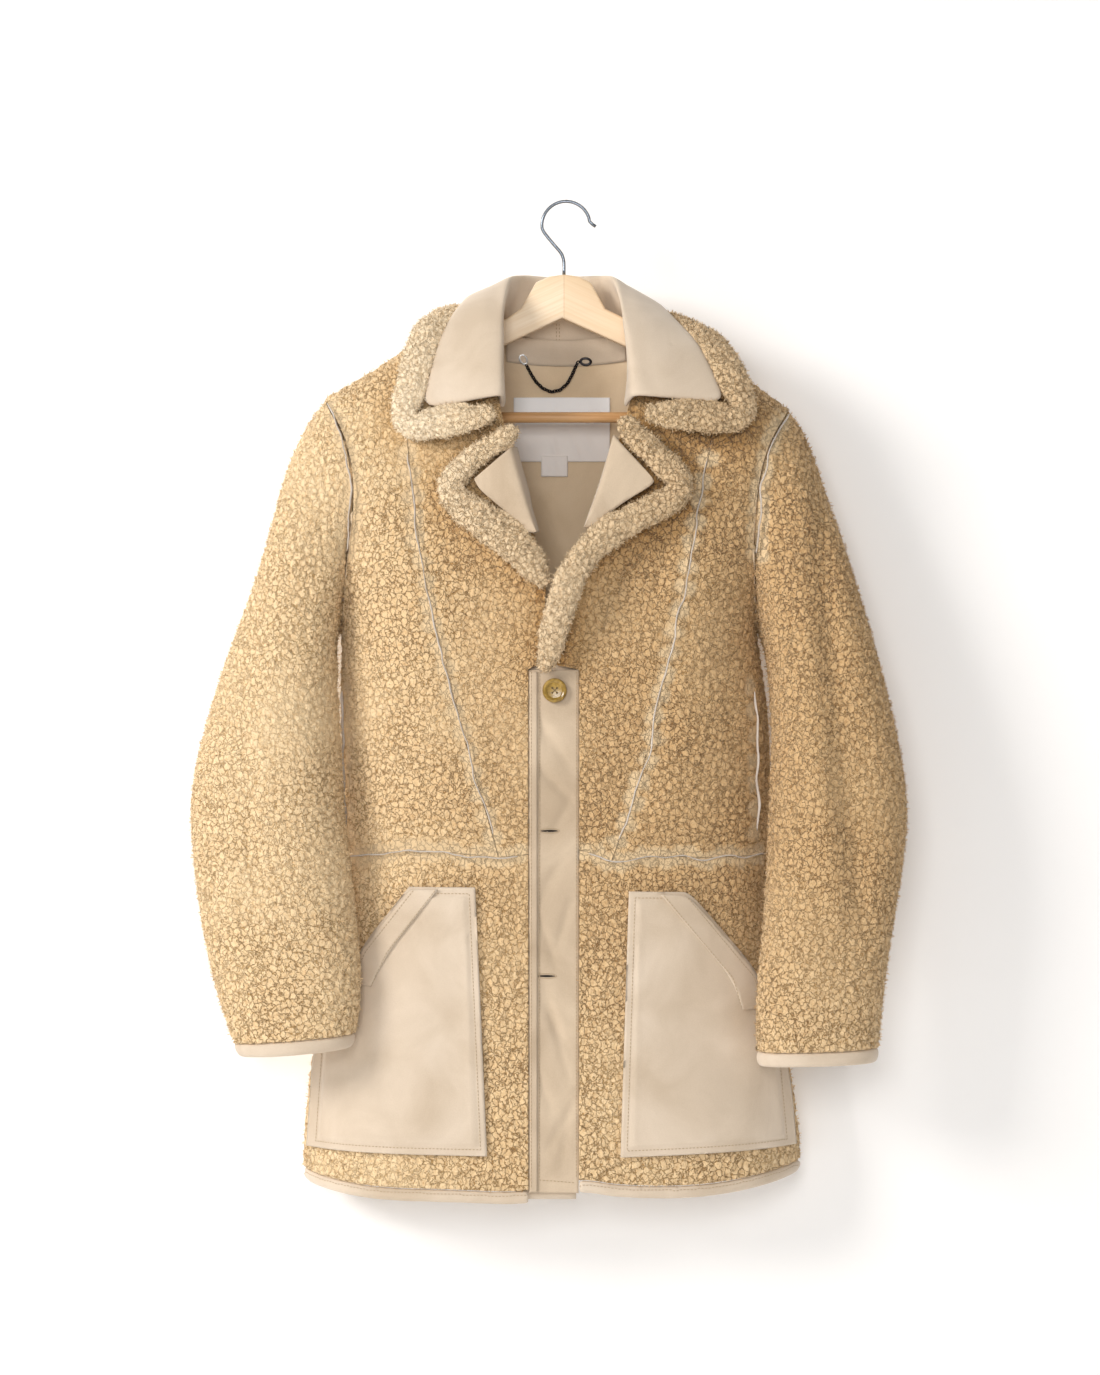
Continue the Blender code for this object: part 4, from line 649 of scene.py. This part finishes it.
for node, wide, long, area, fibres, spacing in PANELS[1:]:
    mesh = fleece_meshes[node]
    co, direction, outside = surfaces[node]
    pile_and_painted_shade, shaved = np.ones(len(co)), np.zeros(len(co))
    for k in np.nonzero(outside)[0]:
        point = Vector(co[k])
        bent = point + KNOB_BEND * MM * noise.noise_vector(point * 130.0)
        (_, _, first), (_, _, second) = knobs[spacing].find_n(bent, 2)
        crack = min((second - first) / (CRACK_SHARE * spacing * MM), 1.0)
        high = crack * (2 - crack)
        knob_and_shade = 0.7 + 0.3 * high
        _, _, seam = ridge_tree.find(point)
        seam += 0.0045 * noise.noise(point * 105.0) + 0.002 * noise.noise(point * 300.0)
        flat = unit(2.6 - 2.0 * seam / (SHAVED_WIDE * MM))
        lump = 0.5 + 0.5 * noise.noise(point * 95.0)
        rise = (PILE_PROUD + PILE_DEEP) * high * (0.72 + 0.28 * lump) - PILE_DEEP
        rise += 0.35 * noise.noise(point * 420.0)
        if spacing == BORDER_KNOB:
            knob_and_shade += BORDER_PLUMP
            rise += 0.8 + 1.7 * noise.noise(point * 62.0) + 1.1 * noise.noise(point * 170.0)
            if leaves[node].find_nearest(point)[3] < HUG_NEAR * MM:
                rise = max(rise, BORDER_LEAST)
        if direction[k][1] < 0:
            rise -= crease_depth(co[k, 0] / MM, co[k, 2] / MM, FLEECE_FOLDS.get(node, ()))
        co[k] += direction[k] * MM * (rise * (1 - flat) + flat * (0.25 * high - SHAVED_DEEP))
        # Painted shade beside the lapels, deeper on the wearer's left, carried in the pile attribute.
        if node.startswith("front"):
            _, _, under = painted_shade_edges.find(co[k])
            deep = PAINTED_SHADE_LEFT if co[k, 0] > -0.03 else PAINTED_SHADE_RIGHT
            knob_and_shade -= deep * math.exp(-((under / (PAINTED_SHADE_REACH * MM)) ** 2)) * (0.6 + 0.4 * lump)
        pile_and_painted_shade[k], shaved[k] = knob_and_shade, flat
    mesh.vertices.foreach_set("co", co.ravel())
    store(mesh, "pile_and_painted_shade", pile_and_painted_shade)
    store(mesh, "shaved", shaved)
    dress(mesh, fleece, inside_suede_painted_light)
    piece = new_object(f"{node}_fleece", mesh)
    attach(piece, "root")
    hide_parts(node)
    stray_mesh = run_nodes(new_object("fibres", mesh.copy()), FUZZ_TREE, {
        "Fibre": fibre, "Density": fibres * 1e4, "Seed": len(node)})
    strays = new_object(f"{node}_fibres", stray_mesh)
    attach(strays, "root")
bpy.data.objects.remove(fibre, do_unlink=True)


# ---------------------------------------------------------------- suede bands and patches
# Collar, lapels, placket, pockets and bindings: the same skins turned suede side out, cut
# and topstitched.  The patches stand proud of a narrow flange that carries the stitching.
SUEDES = (                                    # cut sizes, and how far apart the mesh's points lie
    ("node", "wide", "long", "area", "cell"),
    ("collar", 430, 165, 550, 5.0), ("lapel_right", 100, 70, 48, 4.0), ("lapel_left", 100, 75, 55, 4.0),
    ("placket", 57, 520, 285, 3.5), ("placket_edge", 10, 516, 46, 4.0),
    ("button_stand", 66, 590, 367, 9.0),
    ("cuff_band_right", 19, 330, 57, 4.5), ("cuff_band_left", 19, 330, 57, 4.5),
    ("hem_band_right", 20, 265, 48, 4.5), ("hem_band_left", 20, 265, 47, 4.5),
    ("hem_band_back", 20, 520, 94, 5.0),
    ("pocket_right", 183, 267, 422, 3.5), ("pocket_left", 179, 264, 405, 3.5),
    ("pocket_band_right", 30, 128, 32, 4.0), ("pocket_band_left", 30, 152, 40, 4.0),
)
POCKETS = {                                   # outlines seen from the front, from the top outer corner
    "right": ((-154, -681), (-89.5, -681), (-78, -947), (-257, -944), (-250, -842), (-203, -744)),
    "left": ((121, -686), (61.5, -685), (53.5, -948), (228, -942), (221, -864), (191, -770)),
}
FLANGE, PATCH_RISE, PATCH_SINK = 8.5, 1.5, 0.6
COLLAR_PLUMP = 0.9
WRINKLES = {                                  # soft creases: from (x, z) to (x, z), half width, depth
    "placket": ((-25, -520, 4, -565, 5, 1.8), (-30, -560, 8, -600, 5, 2.2),
                (6, -590, -18, -640, 5, 1.6), (-2, -650, -28, -700, 6, 1.8),
                (6, -690, -10, -745, 4, 2.2), (-26, -790, 8, -850, 5, 2.4),
                (-22, -775, 2, -870, 4, 2.4), (8, -895, -20, -945, 5, 2.2),
                (-30, -700, -10, -762, 4, 1.8), (-28, -505, -18, -548, 4, 1.4),
                (4, -900, -6, -960, 4, 1.6), (-30, -860, -14, -905, 5, 1.8)),
    "pocket_right": ((-230, -905, -180, -935, 16, 1.0), (-190, -860, -165, -925, 10, 0.9),
                     (-150, -700, -170, -800, 20, 0.8), (-110, -760, -120, -900, 22, 0.8)),
    "pocket_left": ((110, -760, 130, -860, 24, 1.2), (150, -820, 175, -900, 20, 1.2),
                    (90, -700, 80, -800, 18, 0.7), (190, -860, 200, -920, 14, 0.9)),
    "collar": ((-58, -100, -70, -150, 9, 1.0), (-62, -150, -78, -195, 8, 0.8),
               (60, -105, 72, -160, 9, 1.1), (70, -150, 88, -196, 12, 0.9),
               (-110, -140, -122, -190, 16, 0.7), (112, -150, 130, -195, 16, 0.7),
               (34, -84, 45, -132, 5, 3.2), (-44, -78, -56, -128, 5, 3.2),
               (58, -84, 60, -120, 7, 1.6), (-66, -84, -72, -118, 7, 1.6)),
    "lapel_right": ((-50, -255, -58, -300, 9, 0.6),), "lapel_left": ((45, -250, 42, -300, 10, 0.7),),
}


def along_edge(point, outline):
    """Distance in millimetres from a front-view point to the nearest side of an outline."""
    best = 1e9
    for k, (x0, z0) in enumerate(outline):
        x1, z1 = outline[(k + 1) % len(outline)]
        dx, dz = x1 - x0, z1 - z0
        t = unit(((point[0] - x0) * dx + (point[1] - z0) * dz) / (dx * dx + dz * dz))
        best = min(best, math.hypot(point[0] - x0 - t * dx, point[1] - z0 - t * dz))
    return best


suede_trees = {}
for node, wide, long, area, cell in SUEDES[1:]:
    on_body = node.startswith(("pocket", "placket", "button", "hem"))
    middle = BODY_MIDDLE if on_body else tuple(cad_points(node).mean(axis=0))
    rolled = node == "collar" or node.startswith(("cuff_band", "hem_band"))
    turn = 1.25 if node.startswith("lapel") else 0.85
    mesh = refined(marked_copy(node, middle, 2, tube=rolled, turn=turn), cell)
    co, direction, outside = read(mesh)
    pocket = POCKETS.get(node.removeprefix("pocket_"))
    for k in np.nonzero(outside)[0]:
        x, z = co[k, 0] / MM, co[k, 2] / MM
        lift = 0.35 * noise.noise(Vector(co[k]) * 38.0) - crease_depth(x, z, WRINKLES.get(node, ()))
        if node == "collar":
            lift += COLLAR_PLUMP
        if pocket:
            inward = along_edge((x, z), pocket) - FLANGE
            lift += PATCH_RISE * unit(inward / 2.0) - PATCH_SINK
            lift += 0.4 * math.exp(-((inward - 4) / 3) ** 2)
        co[k] += direction[k] * MM * lift
    mesh.vertices.foreach_set("co", co.ravel())
    # The placket is in the darker suede; on the lapels that darker suede is painted shade.
    dress(mesh, darker_suede_painted_shade if node.startswith(("placket", "lapel")) else suede)
    piece = new_object(f"{node}_suede", mesh)
    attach(piece, "root")
    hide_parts(node)
    suede_trees[node] = surface_tree(mesh)


# ---------------------------------------------------------------- the neck strip
# A narrow strip of the same suede over the seam between collar and back, which the
# eyelets are set in.  It bridges the seam above them and follows the skin from their row.
NECK_STRIP_TOP, NECK_STRIP_WIDE, NECK_STRIP_SAG = 129.0, 26.0, 4.5
NECK_STRIP_REACH, NECK_STRIP_STEPS = (-60.0, 61.0), (61, 9)
NECK_STRIP_PROUD, NECK_STRIP_THICK = 1.3, 0.7
EYELET_ROW = 5


def neck_strip_z(x, down):
    """Height of a line along the strip, in millimetres, `down` below the origin at its ends."""
    return -down - NECK_STRIP_SAG * (1 - ((x + 2.0) / 60.0) ** 2)


inside_tree = surface_tree(fleece_meshes["back"])
columns = np.linspace(*NECK_STRIP_REACH, NECK_STRIP_STEPS[0])
rows = NECK_STRIP_TOP + np.linspace(0.0, NECK_STRIP_WIDE, NECK_STRIP_STEPS[1])
depths = np.empty(NECK_STRIP_STEPS)
for i, x in enumerate(columns):
    for j, down in enumerate(rows):
        start = Vector((x * MM, 0.012, neck_strip_z(x, down) * MM))
        hits = [skin.ray_cast(start, Vector((0, 1, 0))) for skin in (suede_trees["collar"], inside_tree)]
        depths[i, j] = min([hit[0].y for hit in hits if hit[0] is not None], default=0.04)
eyelet_rows = depths[:, EYELET_ROW:].copy()
for _ in range(2):
    for d in (depths, depths.T):
        d[1:-1] = np.minimum(np.minimum(d[:-2], d[1:-1]), d[2:])
depths[:, EYELET_ROW:] = eyelet_rows
for _ in range(3):
    for d in (depths, depths.T):
        d[1:-1] = (d[:-2] + 2 * d[1:-1] + d[2:]) / 4
points = [(x * MM, depths[i, j] - NECK_STRIP_PROUD * MM, neck_strip_z(x, down) * MM)
          for i, x in enumerate(columns) for j, down in enumerate(rows)]
faces = [(k - len(rows) - 1, k - 1, k, k - len(rows))
         for i in range(1, len(columns)) for k in range(i * len(rows) + 1, (i + 1) * len(rows))]
mesh = bpy.data.meshes.new("neck_strip")
mesh.from_pydata(points, [], faces)
mesh.materials.append(suede)
mesh.shade_smooth()
thick = new_object("neck_strip", mesh)
shell = thick.modifiers.new("skin", "SOLIDIFY")
shell.thickness, shell.offset = NECK_STRIP_THICK * MM, 0.0
strip = new_object("neck_strip", evaluated(thick))
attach(strip, "root")


# ---------------------------------------------------------------- raw edges of the skins
# Where fleece panels are joined, the cut skins stand up along the seam as a thin, wavy,
# pale grey lip, uneven where the shears went.
EDGE_WAVE, EDGE_RIPPLE, EDGE_TOOTH = 3.0, 0.7, 0.3

for node in [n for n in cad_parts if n.startswith(SEAM_EDGES)]:
    mesh = refined(marked_copy(node, (0, 0, 0), 1, tube=True), 3.0)
    co = mesh_points(mesh)
    for k in range(len(co)):
        point = Vector(co[k])
        co[k] += EDGE_WAVE * MM * np.array(noise.noise_vector(point * 42.0)) * (1.0, 0.3, 1.0)
        co[k] += EDGE_RIPPLE * MM * np.array(noise.noise_vector(point * 90.0))
        co[k] += EDGE_TOOTH * MM * np.array(noise.noise_vector(point * 400.0))
    mesh.vertices.foreach_set("co", co.ravel())
    dress(mesh, cut_skin)
    piece = new_object(f"{node}_skin", mesh)
    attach(piece, "root")
    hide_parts(node)


# ---------------------------------------------------------------- topstitching
# Cotton thread a shade darker than the suede, in stitches of about three millimetres,
# round each pocket and along its slanted band, down the placket and its welt, round the
# hem bands, and inside the neck.
STITCH_LONG, STITCH_RADIUS, STITCH_PITCH = 2.6, 0.42, 3.6
FROM_PATCH, FROM_HEM = 2.2, 3.0               # how far a row lies outside a patch, or below an edge
HEM_LOOKED_FOR = (-960, -1000)                # heights between which the hem bands' edge is found


def capsule(name, half_long, radius):
    """A small rounded bar along X."""
    mesh = bpy.data.meshes.new(name)
    bm = bmesh.new()
    bmesh.ops.create_uvsphere(bm, u_segments=5, v_segments=4, radius=1.0)
    for vert in bm.verts:
        x, y, z = vert.co
        vert.co = (z * half_long * MM, x * radius * MM, y * radius * MM)
    bm.to_mesh(mesh)
    bm.free()
    mesh.shade_smooth()
    return mesh


def inset(outline, by):
    """A closed outline drawn in by a distance."""
    corners, drawn = [np.array(p, float) for p in outline], []
    area = sum(a[0] * b[1] - b[0] * a[1] for a, b in zip(corners, corners[1:] + corners[:1]))
    turn = 1 if area > 0 else -1
    for k, at in enumerate(corners):
        ways = (at - corners[k - 1], corners[(k + 1) % len(corners)] - at)
        middle = sum(turn * np.array([-way[1], way[0]]) / np.linalg.norm(way) for way in ways)
        drawn.append(at + by * 2 * middle / np.dot(middle, middle))
    return drawn


def laid(flat, skins, face=-1, off=0.25, closed=False, start=0.5):
    """A front-view line in millimetres laid on the nearest of some skins, as seen from
    `start` metres out on the front (-1) or the back (+1)."""
    flat = [np.array(p, float) for p in flat]
    if closed:
        flat.append(flat[0])
    points = []
    for a, b in zip(flat, flat[1:]):
        for t in np.linspace(0, 1, max(int(np.linalg.norm(b - a) / 3.0), 1), endpoint=False):
            x, z = a + (b - a) * t
            hits = [skin.ray_cast(Vector((x * MM, face * start, z * MM)), Vector((0, -face, 0)))
                    for skin in skins]
            hits = [hit for hit in hits if hit[0] is not None]
            if hits:
                place, normal, _, _ = min(hits, key=lambda hit: hit[3])
                points.append(place + normal * off * MM)
    return points


thread = new_material("cotton thread", "#B9A384", 0.8)[0]
lines = []
for side, outline in POCKETS.items():
    lines.append(laid(inset(outline, FLANGE - FROM_PATCH), [suede_trees[f"pocket_{side}"]], closed=True))
    sign = 1 if side == "right" else -1
    low, corner, top = (np.array(outline[k], float) for k in (4, 5, 0))
    for across in (4.5, 26.0):
        row = [p + (sign * across, -2.0) for p in (0.4 * low + 0.6 * corner, corner, top)]
        lines.append(laid(row, [suede_trees[f"pocket_band_{side}"]]))
on = [suede_trees["placket"]]
lines.append(laid([(-26.0, -470.0), (-26.5, -971.0), (9.5, -974.0)], on))
lines.append(laid([(9.8, -470.0), (9.8, -970.0)], on))
lines.append(laid([(-34.5, -470.0), (-34.5, -980.0)], [suede_trees["placket_edge"]]))
# On the hem, just below the upper edge of each band, wherever that runs.
for side, face, reach in (("right", -1, (-264, -38)), ("left", -1, (14, 236)), ("back", 1, (-262, 234))):
    band, row = suede_trees[f"hem_band_{side}"], []
    for x in np.linspace(*reach, 90):
        found = [z for z in np.linspace(*HEM_LOOKED_FOR, 41) if band.ray_cast(
            Vector((x * MM, face * 0.5, z * MM)), Vector((0, -face, 0)))[0] is not None]
        if found:
            row.append((x, found[0] - FROM_HEM))
    lines.append(laid(row, [band], face))
# Inside the neck: both edges of the neck strip, and two close rows up the collar's middle.
on = [suede_trees["collar"], inside_tree]
for edge in (NECK_STRIP_TOP + 12.1, NECK_STRIP_TOP + NECK_STRIP_WIDE - 1.6):
    row = [(x, neck_strip_z(x, edge)) for x in np.linspace(-58, 54, 24)]
    lines.append(laid(row, on, start=-0.012, off=0.9))
for x in (-9.6, -6.6):
    lines.append(laid([(x, -118.0), (x, -140.0)], on, start=-0.012, off=0.3))
stitches = parts_along("topstitching", [line for line in lines if len(line) > 2],
                       capsule("stitch", STITCH_LONG / 2, STITCH_RADIUS), STITCH_PITCH, 0.0, thread)
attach(stitches, "root")


# ---------------------------------------------------------------- the label and its size tab
# Bare woven satin sewn to the inside of the back, rippled by the hang, with a folded size
# tab tucked under its lower edge.  The lower half is woven sheerer and shows the suede.
LABELS = (("node", "wide", "long", "area"), ("neck_label", 98, 65, 63), ("size_tab", 27, 21, 5.6))
LABEL_FOLDS = {
    "neck_label": ((-12, -192, -9, -212, 3, 0.7), (-16, -224, -8, -254, 3, 0.8),
                   (2, -222, 14, -253, 2, 0.7), (16, -224, 30, -250, 4, 0.7),
                   (26, -194, 20, -214, 3, 0.5), (-40, -228, -30, -250, 4, 0.5)),
    "size_tab": ((-20, -252, -17, -270, 1.6, 0.7), (-13, -251, -9, -270, 1.4, 0.8),
                 (-4, -252, -2, -268, 1.4, 0.6)),
}
SHEER_FROM, SHEER_TO = -0.2170, -0.2190       # the height, in metres, where the weave turns sheer

satin, tree, shader = new_material("white satin", "#FFFFFF", 0.45, Sheen_Weight=0.3,
                                   Specular_IOR_Level=0.4)
place = add_node(tree, "ShaderNodeTexCoord").outputs["Object"]
apart = add_node(tree, "ShaderNodeSeparateXYZ", inputs=(("Vector", place),))
lower = mapped(tree, apart.outputs["Z"], SHEER_FROM, SHEER_TO, kind="LINEAR")
weave = add_node(tree, "ShaderNodeTexWave", bands_direction="Z",
                 inputs=(("Vector", place), ("Scale", 620.0), ("Distortion", 1.5)))
faced(tree, shader, mixed(tree, lower, linear("#FFFFFF"), linear("#F4EDE7")),
      0.12, 0.0003, weave.outputs["Fac"])

for node, wide, long, area in LABELS[1:]:
    x, y, z = cad_points(node).mean(axis=0)
    mesh = refined(marked_copy(node, (x, y + 0.3, z), 1), 2.0)
    co, direction, outside = read(mesh)
    for k in np.nonzero(outside)[0]:
        ripple = 0.5 * noise.noise(Vector(co[k]) * 60.0)
        ripple += crease_depth(co[k, 0] / MM, co[k, 2] / MM, LABEL_FOLDS[node])
        co[k] += direction[k] * MM * ripple
    mesh.vertices.foreach_set("co", co.ravel())
    dress(mesh, satin)
    piece = new_object(f"{node}_satin", mesh)
    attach(piece, "root")
    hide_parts(node)


# ---------------------------------------------------------------- the horn button
# Turned from olive-gold horn: a raised rim round a dished middle with four drilled holes,
# sewn on with two bars of thread.
BUTTON_AT, BUTTON_BACK = (-11.4, -487.35), -60.2
BUTTON_PROFILE = (                            # radius, and how far it stands in front of the back
    (0.0, 3.0), (4.6, 3.1), (7.4, 3.5), (8.4, 4.5), (9.8, 5.0), (11.2, 4.6), (12.0, 3.4),
    (12.0, 2.2), (11.2, 0.9), (9.5, 0.3), (0.0, 0.3),
)
HOLES, HOLE_RADIUS = ((-2.3, -2.3), (2.3, -2.3), (2.3, 2.3), (-2.3, 2.3)), 1.05
THREAD_PROUD = 3.3                            # how far its thread stands in front of the back

horn, tree, shader = new_material("marbled horn", "#A5822F", 0.3, Coat_Weight=0.35, Coat_Roughness=0.15)
place = add_node(tree, "ShaderNodeTexCoord").outputs["Object"]
clouds = clouded(tree, place, 130.0, 4.0, Distortion=1.6)
marbled = ramped(tree, clouds, ((0.3, "#6F5315"), (0.72, "#B5923F")))
tree.links.new(marbled, shader.inputs["Base Color"])


def turned(name, profile, steps=48):
    """A shape turned on a lathe whose axis runs out of the coat's front, from its own
    profile of (radius, height) pairs, standing at the origin."""
    mesh = bpy.data.meshes.new(name)
    bm = bmesh.new()
    rows = []
    for radius, height in profile:
        if radius == 0:
            rows.append([bm.verts.new((0.0, -height * MM, 0.0))] * steps)
        else:
            rows.append([bm.verts.new((radius * math.cos(a) * MM, -height * MM,
                                       radius * math.sin(a) * MM))
                         for a in np.linspace(0, 2 * math.pi, steps, endpoint=False)])
    for one, two in zip(rows, rows[1:]):
        for k in range(steps):
            after = (k + 1) % steps
            bm.faces.new(list(dict.fromkeys((one[k], one[after], two[after], two[k]))))
    bmesh.ops.recalc_face_normals(bm, faces=bm.faces[:])
    bm.to_mesh(mesh)
    bm.free()
    return mesh


button = new_object("horn_button", turned("button", BUTTON_PROFILE))
bit = ((0.0, -2.0), (HOLE_RADIUS, -2.0), (HOLE_RADIUS, 9.0), (0.0, 9.0))
drills = []
for x, z in HOLES:
    drill = new_object("drill", turned("drill", bit, 16))
    drill.location = (x * MM, 0.0, z * MM)
    cut = button.modifiers.new("hole", "BOOLEAN")
    cut.operation, cut.object = "DIFFERENCE", drill
    drills.append(drill)
bpy.context.view_layer.update()
mesh = evaluated(button)
for drill in drills:
    bpy.data.objects.remove(drill, do_unlink=True)
mesh.materials.clear()
mesh.materials.append(horn)
mesh.shade_smooth()
mesh.set_sharp_from_angle(angle=0.6)
mesh.transform(Matrix.Translation((BUTTON_AT[0] * MM, BUTTON_BACK * MM, BUTTON_AT[1] * MM)))
button = new_object("horn_button", mesh)
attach(button, "root")
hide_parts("button")

dark_thread = new_material("olive thread", "#6B5428", 0.75)[0]
front = BUTTON_BACK - THREAD_PROUD
bars = [[Vector(((BUTTON_AT[0] + x) * MM, front * MM, (BUTTON_AT[1] + z) * MM)) for x, z in pair]
        for pair in (HOLES[::2], HOLES[1::2])]
sewing = parts_along("button_thread", bars, capsule("bar", 1.0, STITCH_RADIUS), 1.5, 0.0, dark_thread)
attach(sewing, "root")


# ---------------------------------------------------------------- the buttonholes
# Two horizontal buttonholes worked in thread round a dark slit, through the placket.
BUTTONHOLES, SLIT_HALF, SLIT_TALL = ((-16.5, -625.6), (-19.5, -769.0)), 8.6, 0.75
WORKED_HALF, WORKED_TALL = SLIT_HALF + 1.2, 2.3
BEAD_HALF, BEAD_RADIUS, BEAD_PITCH = 0.8, 0.36, 0.9       # the worked stitches round them

slit_dark = new_material("shadow in the slit", "#1E1712", 0.95)[0]
bm = bmesh.new()
outlines = []
for x, z in BUTTONHOLES:
    turns = np.linspace(0, 2 * math.pi, 28, endpoint=False)
    slit = [(x + SLIT_HALF * math.cos(a), z + SLIT_TALL * math.sin(a) * (1.2 - 0.2 * math.cos(2 * a)))
            for a in turns]
    rim = [(x + WORKED_HALF * math.cos(a), z + WORKED_TALL * math.sin(a)) for a in turns]
    points = [suede_trees["placket"].ray_cast(Vector((px * MM, -0.5, pz * MM)), Vector((0, 1, 0)))
              for px, pz in slit]
    bm.faces.new([bm.verts.new(place + normal * 0.35 * MM) for place, normal, _, _ in points])
    outlines.append(laid(rim, [suede_trees["placket"]], closed=True))
mesh = bpy.data.meshes.new("slits")
bm.to_mesh(mesh)
bm.free()
mesh.materials.append(slit_dark)
slits = new_object("buttonhole_slits", mesh)
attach(slits, "root")
worked = parts_along("buttonhole_thread", outlines, capsule("bead", BEAD_HALF, BEAD_RADIUS),
                     BEAD_PITCH, 0.0, thread)
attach(worked, "root")


# ---------------------------------------------------------------- the eyelets
# One bright steel and one blackened oval eyelet, riveted to the neck strip, which the
# chain hangs between.
STEEL_THICKER = 0.35                          # so that the rims stand clear of the strip

steel = new_material("bright steel", "#E6E8EA", 0.34, Metallic=1.0)[0]
for node, finish, slot in (("eyelet_right", steel, "chrome"),
                           ("eyelet_left", black_steel, "black_steel")):
    mesh = marked_copy(node, (0, 0, 0), 0, tube=True)
    co, direction, outside = read(mesh)
    co += direction * STEEL_THICKER * MM
    mesh.vertices.foreach_set("co", co.ravel())
    dress(mesh, finish)
    piece = new_object(f"{node}_metal", mesh)
    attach(piece, "root")
    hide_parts(node)


# ---------------------------------------------------------------- the wooden hanger
# Two flat arms of pale maple, mitred together under the hook so the grain runs down each
# arm, a turned honey-coloured bar between them, and a hook of bright plated wire.
ARM_ANGLE, JOINT_X = math.radians(24.6), -0.002


def wood(name, pale, dark, along, across, slope=0.0, joint=None):
    """Planed wood with its grain drawn out along X, or down both arms from a joint."""
    made, tree, shader = new_material(name, pale, 0.5, Coat_Weight=0.15, Coat_Roughness=0.35)
    place = add_node(tree, "ShaderNodeTexCoord").outputs["Object"]
    apart = add_node(tree, "ShaderNodeSeparateXYZ", inputs=(("Vector", place),)).outputs
    run = apart["X"]
    if joint:
        side = maths(tree, "SUBTRACT", apart["X"], joint)
        run = maths(tree, "ABSOLUTE", side)
    sunk = maths(tree, "MULTIPLY_ADD", run, math.tan(slope), apart["Z"])
    grain = add_node(tree, "ShaderNodeCombineXYZ", inputs=(("X", run), ("Y", apart["Y"]), ("Z", sunk)))
    drawn = add_node(tree, "ShaderNodeVectorMath", operation="MULTIPLY",
                     inputs=((0, grain.outputs[0]), (1, (along, across, across))))
    streaks = clouded(tree, drawn.outputs[0], 1.0, 6.0, Roughness=0.6)
    colour = ramped(tree, streaks, ((0.32, dark), (0.62, pale)))
    if joint:
        near = mapped(tree, run, 0.00055, 0.00015, 0.0, 0.5, kind="LINEAR")
        glued = mixed(tree, near, colour, linear("#B98C5A"))
        shade = maths(tree, "MULTIPLY", maths(tree, "GREATER_THAN", side, 0.0), 0.35)
        colour = mixed(tree, shade, glued, linear("#EBC79C"))
    faced(tree, shader, colour, 0.08, 0.0003, streaks)
    return made


maple = wood("pale maple", "#F6E0C2", "#EBCFA9", 9.0, 260.0, ARM_ANGLE, JOINT_X)
honey = wood("honey-coloured beech", "#DDAE79", "#C4905A", 7.0, 420.0)
chrome = new_material("plated hook wire", "#7C828A", 0.26, Metallic=1.0)[0]
for node, finish, slot, levels in (("hanger", maple, "maple", 0), ("hanger_bar", honey, "beech", 1),
                                   ("hanger_hook", chrome, "chrome", 0)):
    mesh = marked_copy(node, (0, 0, 0), levels, tube=node != "hanger_bar")
    dress(mesh, finish)
    if node == "hanger":
        mesh.set_sharp_from_angle(angle=0.7)
    piece = new_object(f"{node}_finish", mesh)
    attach(piece, "root")
    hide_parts(node)
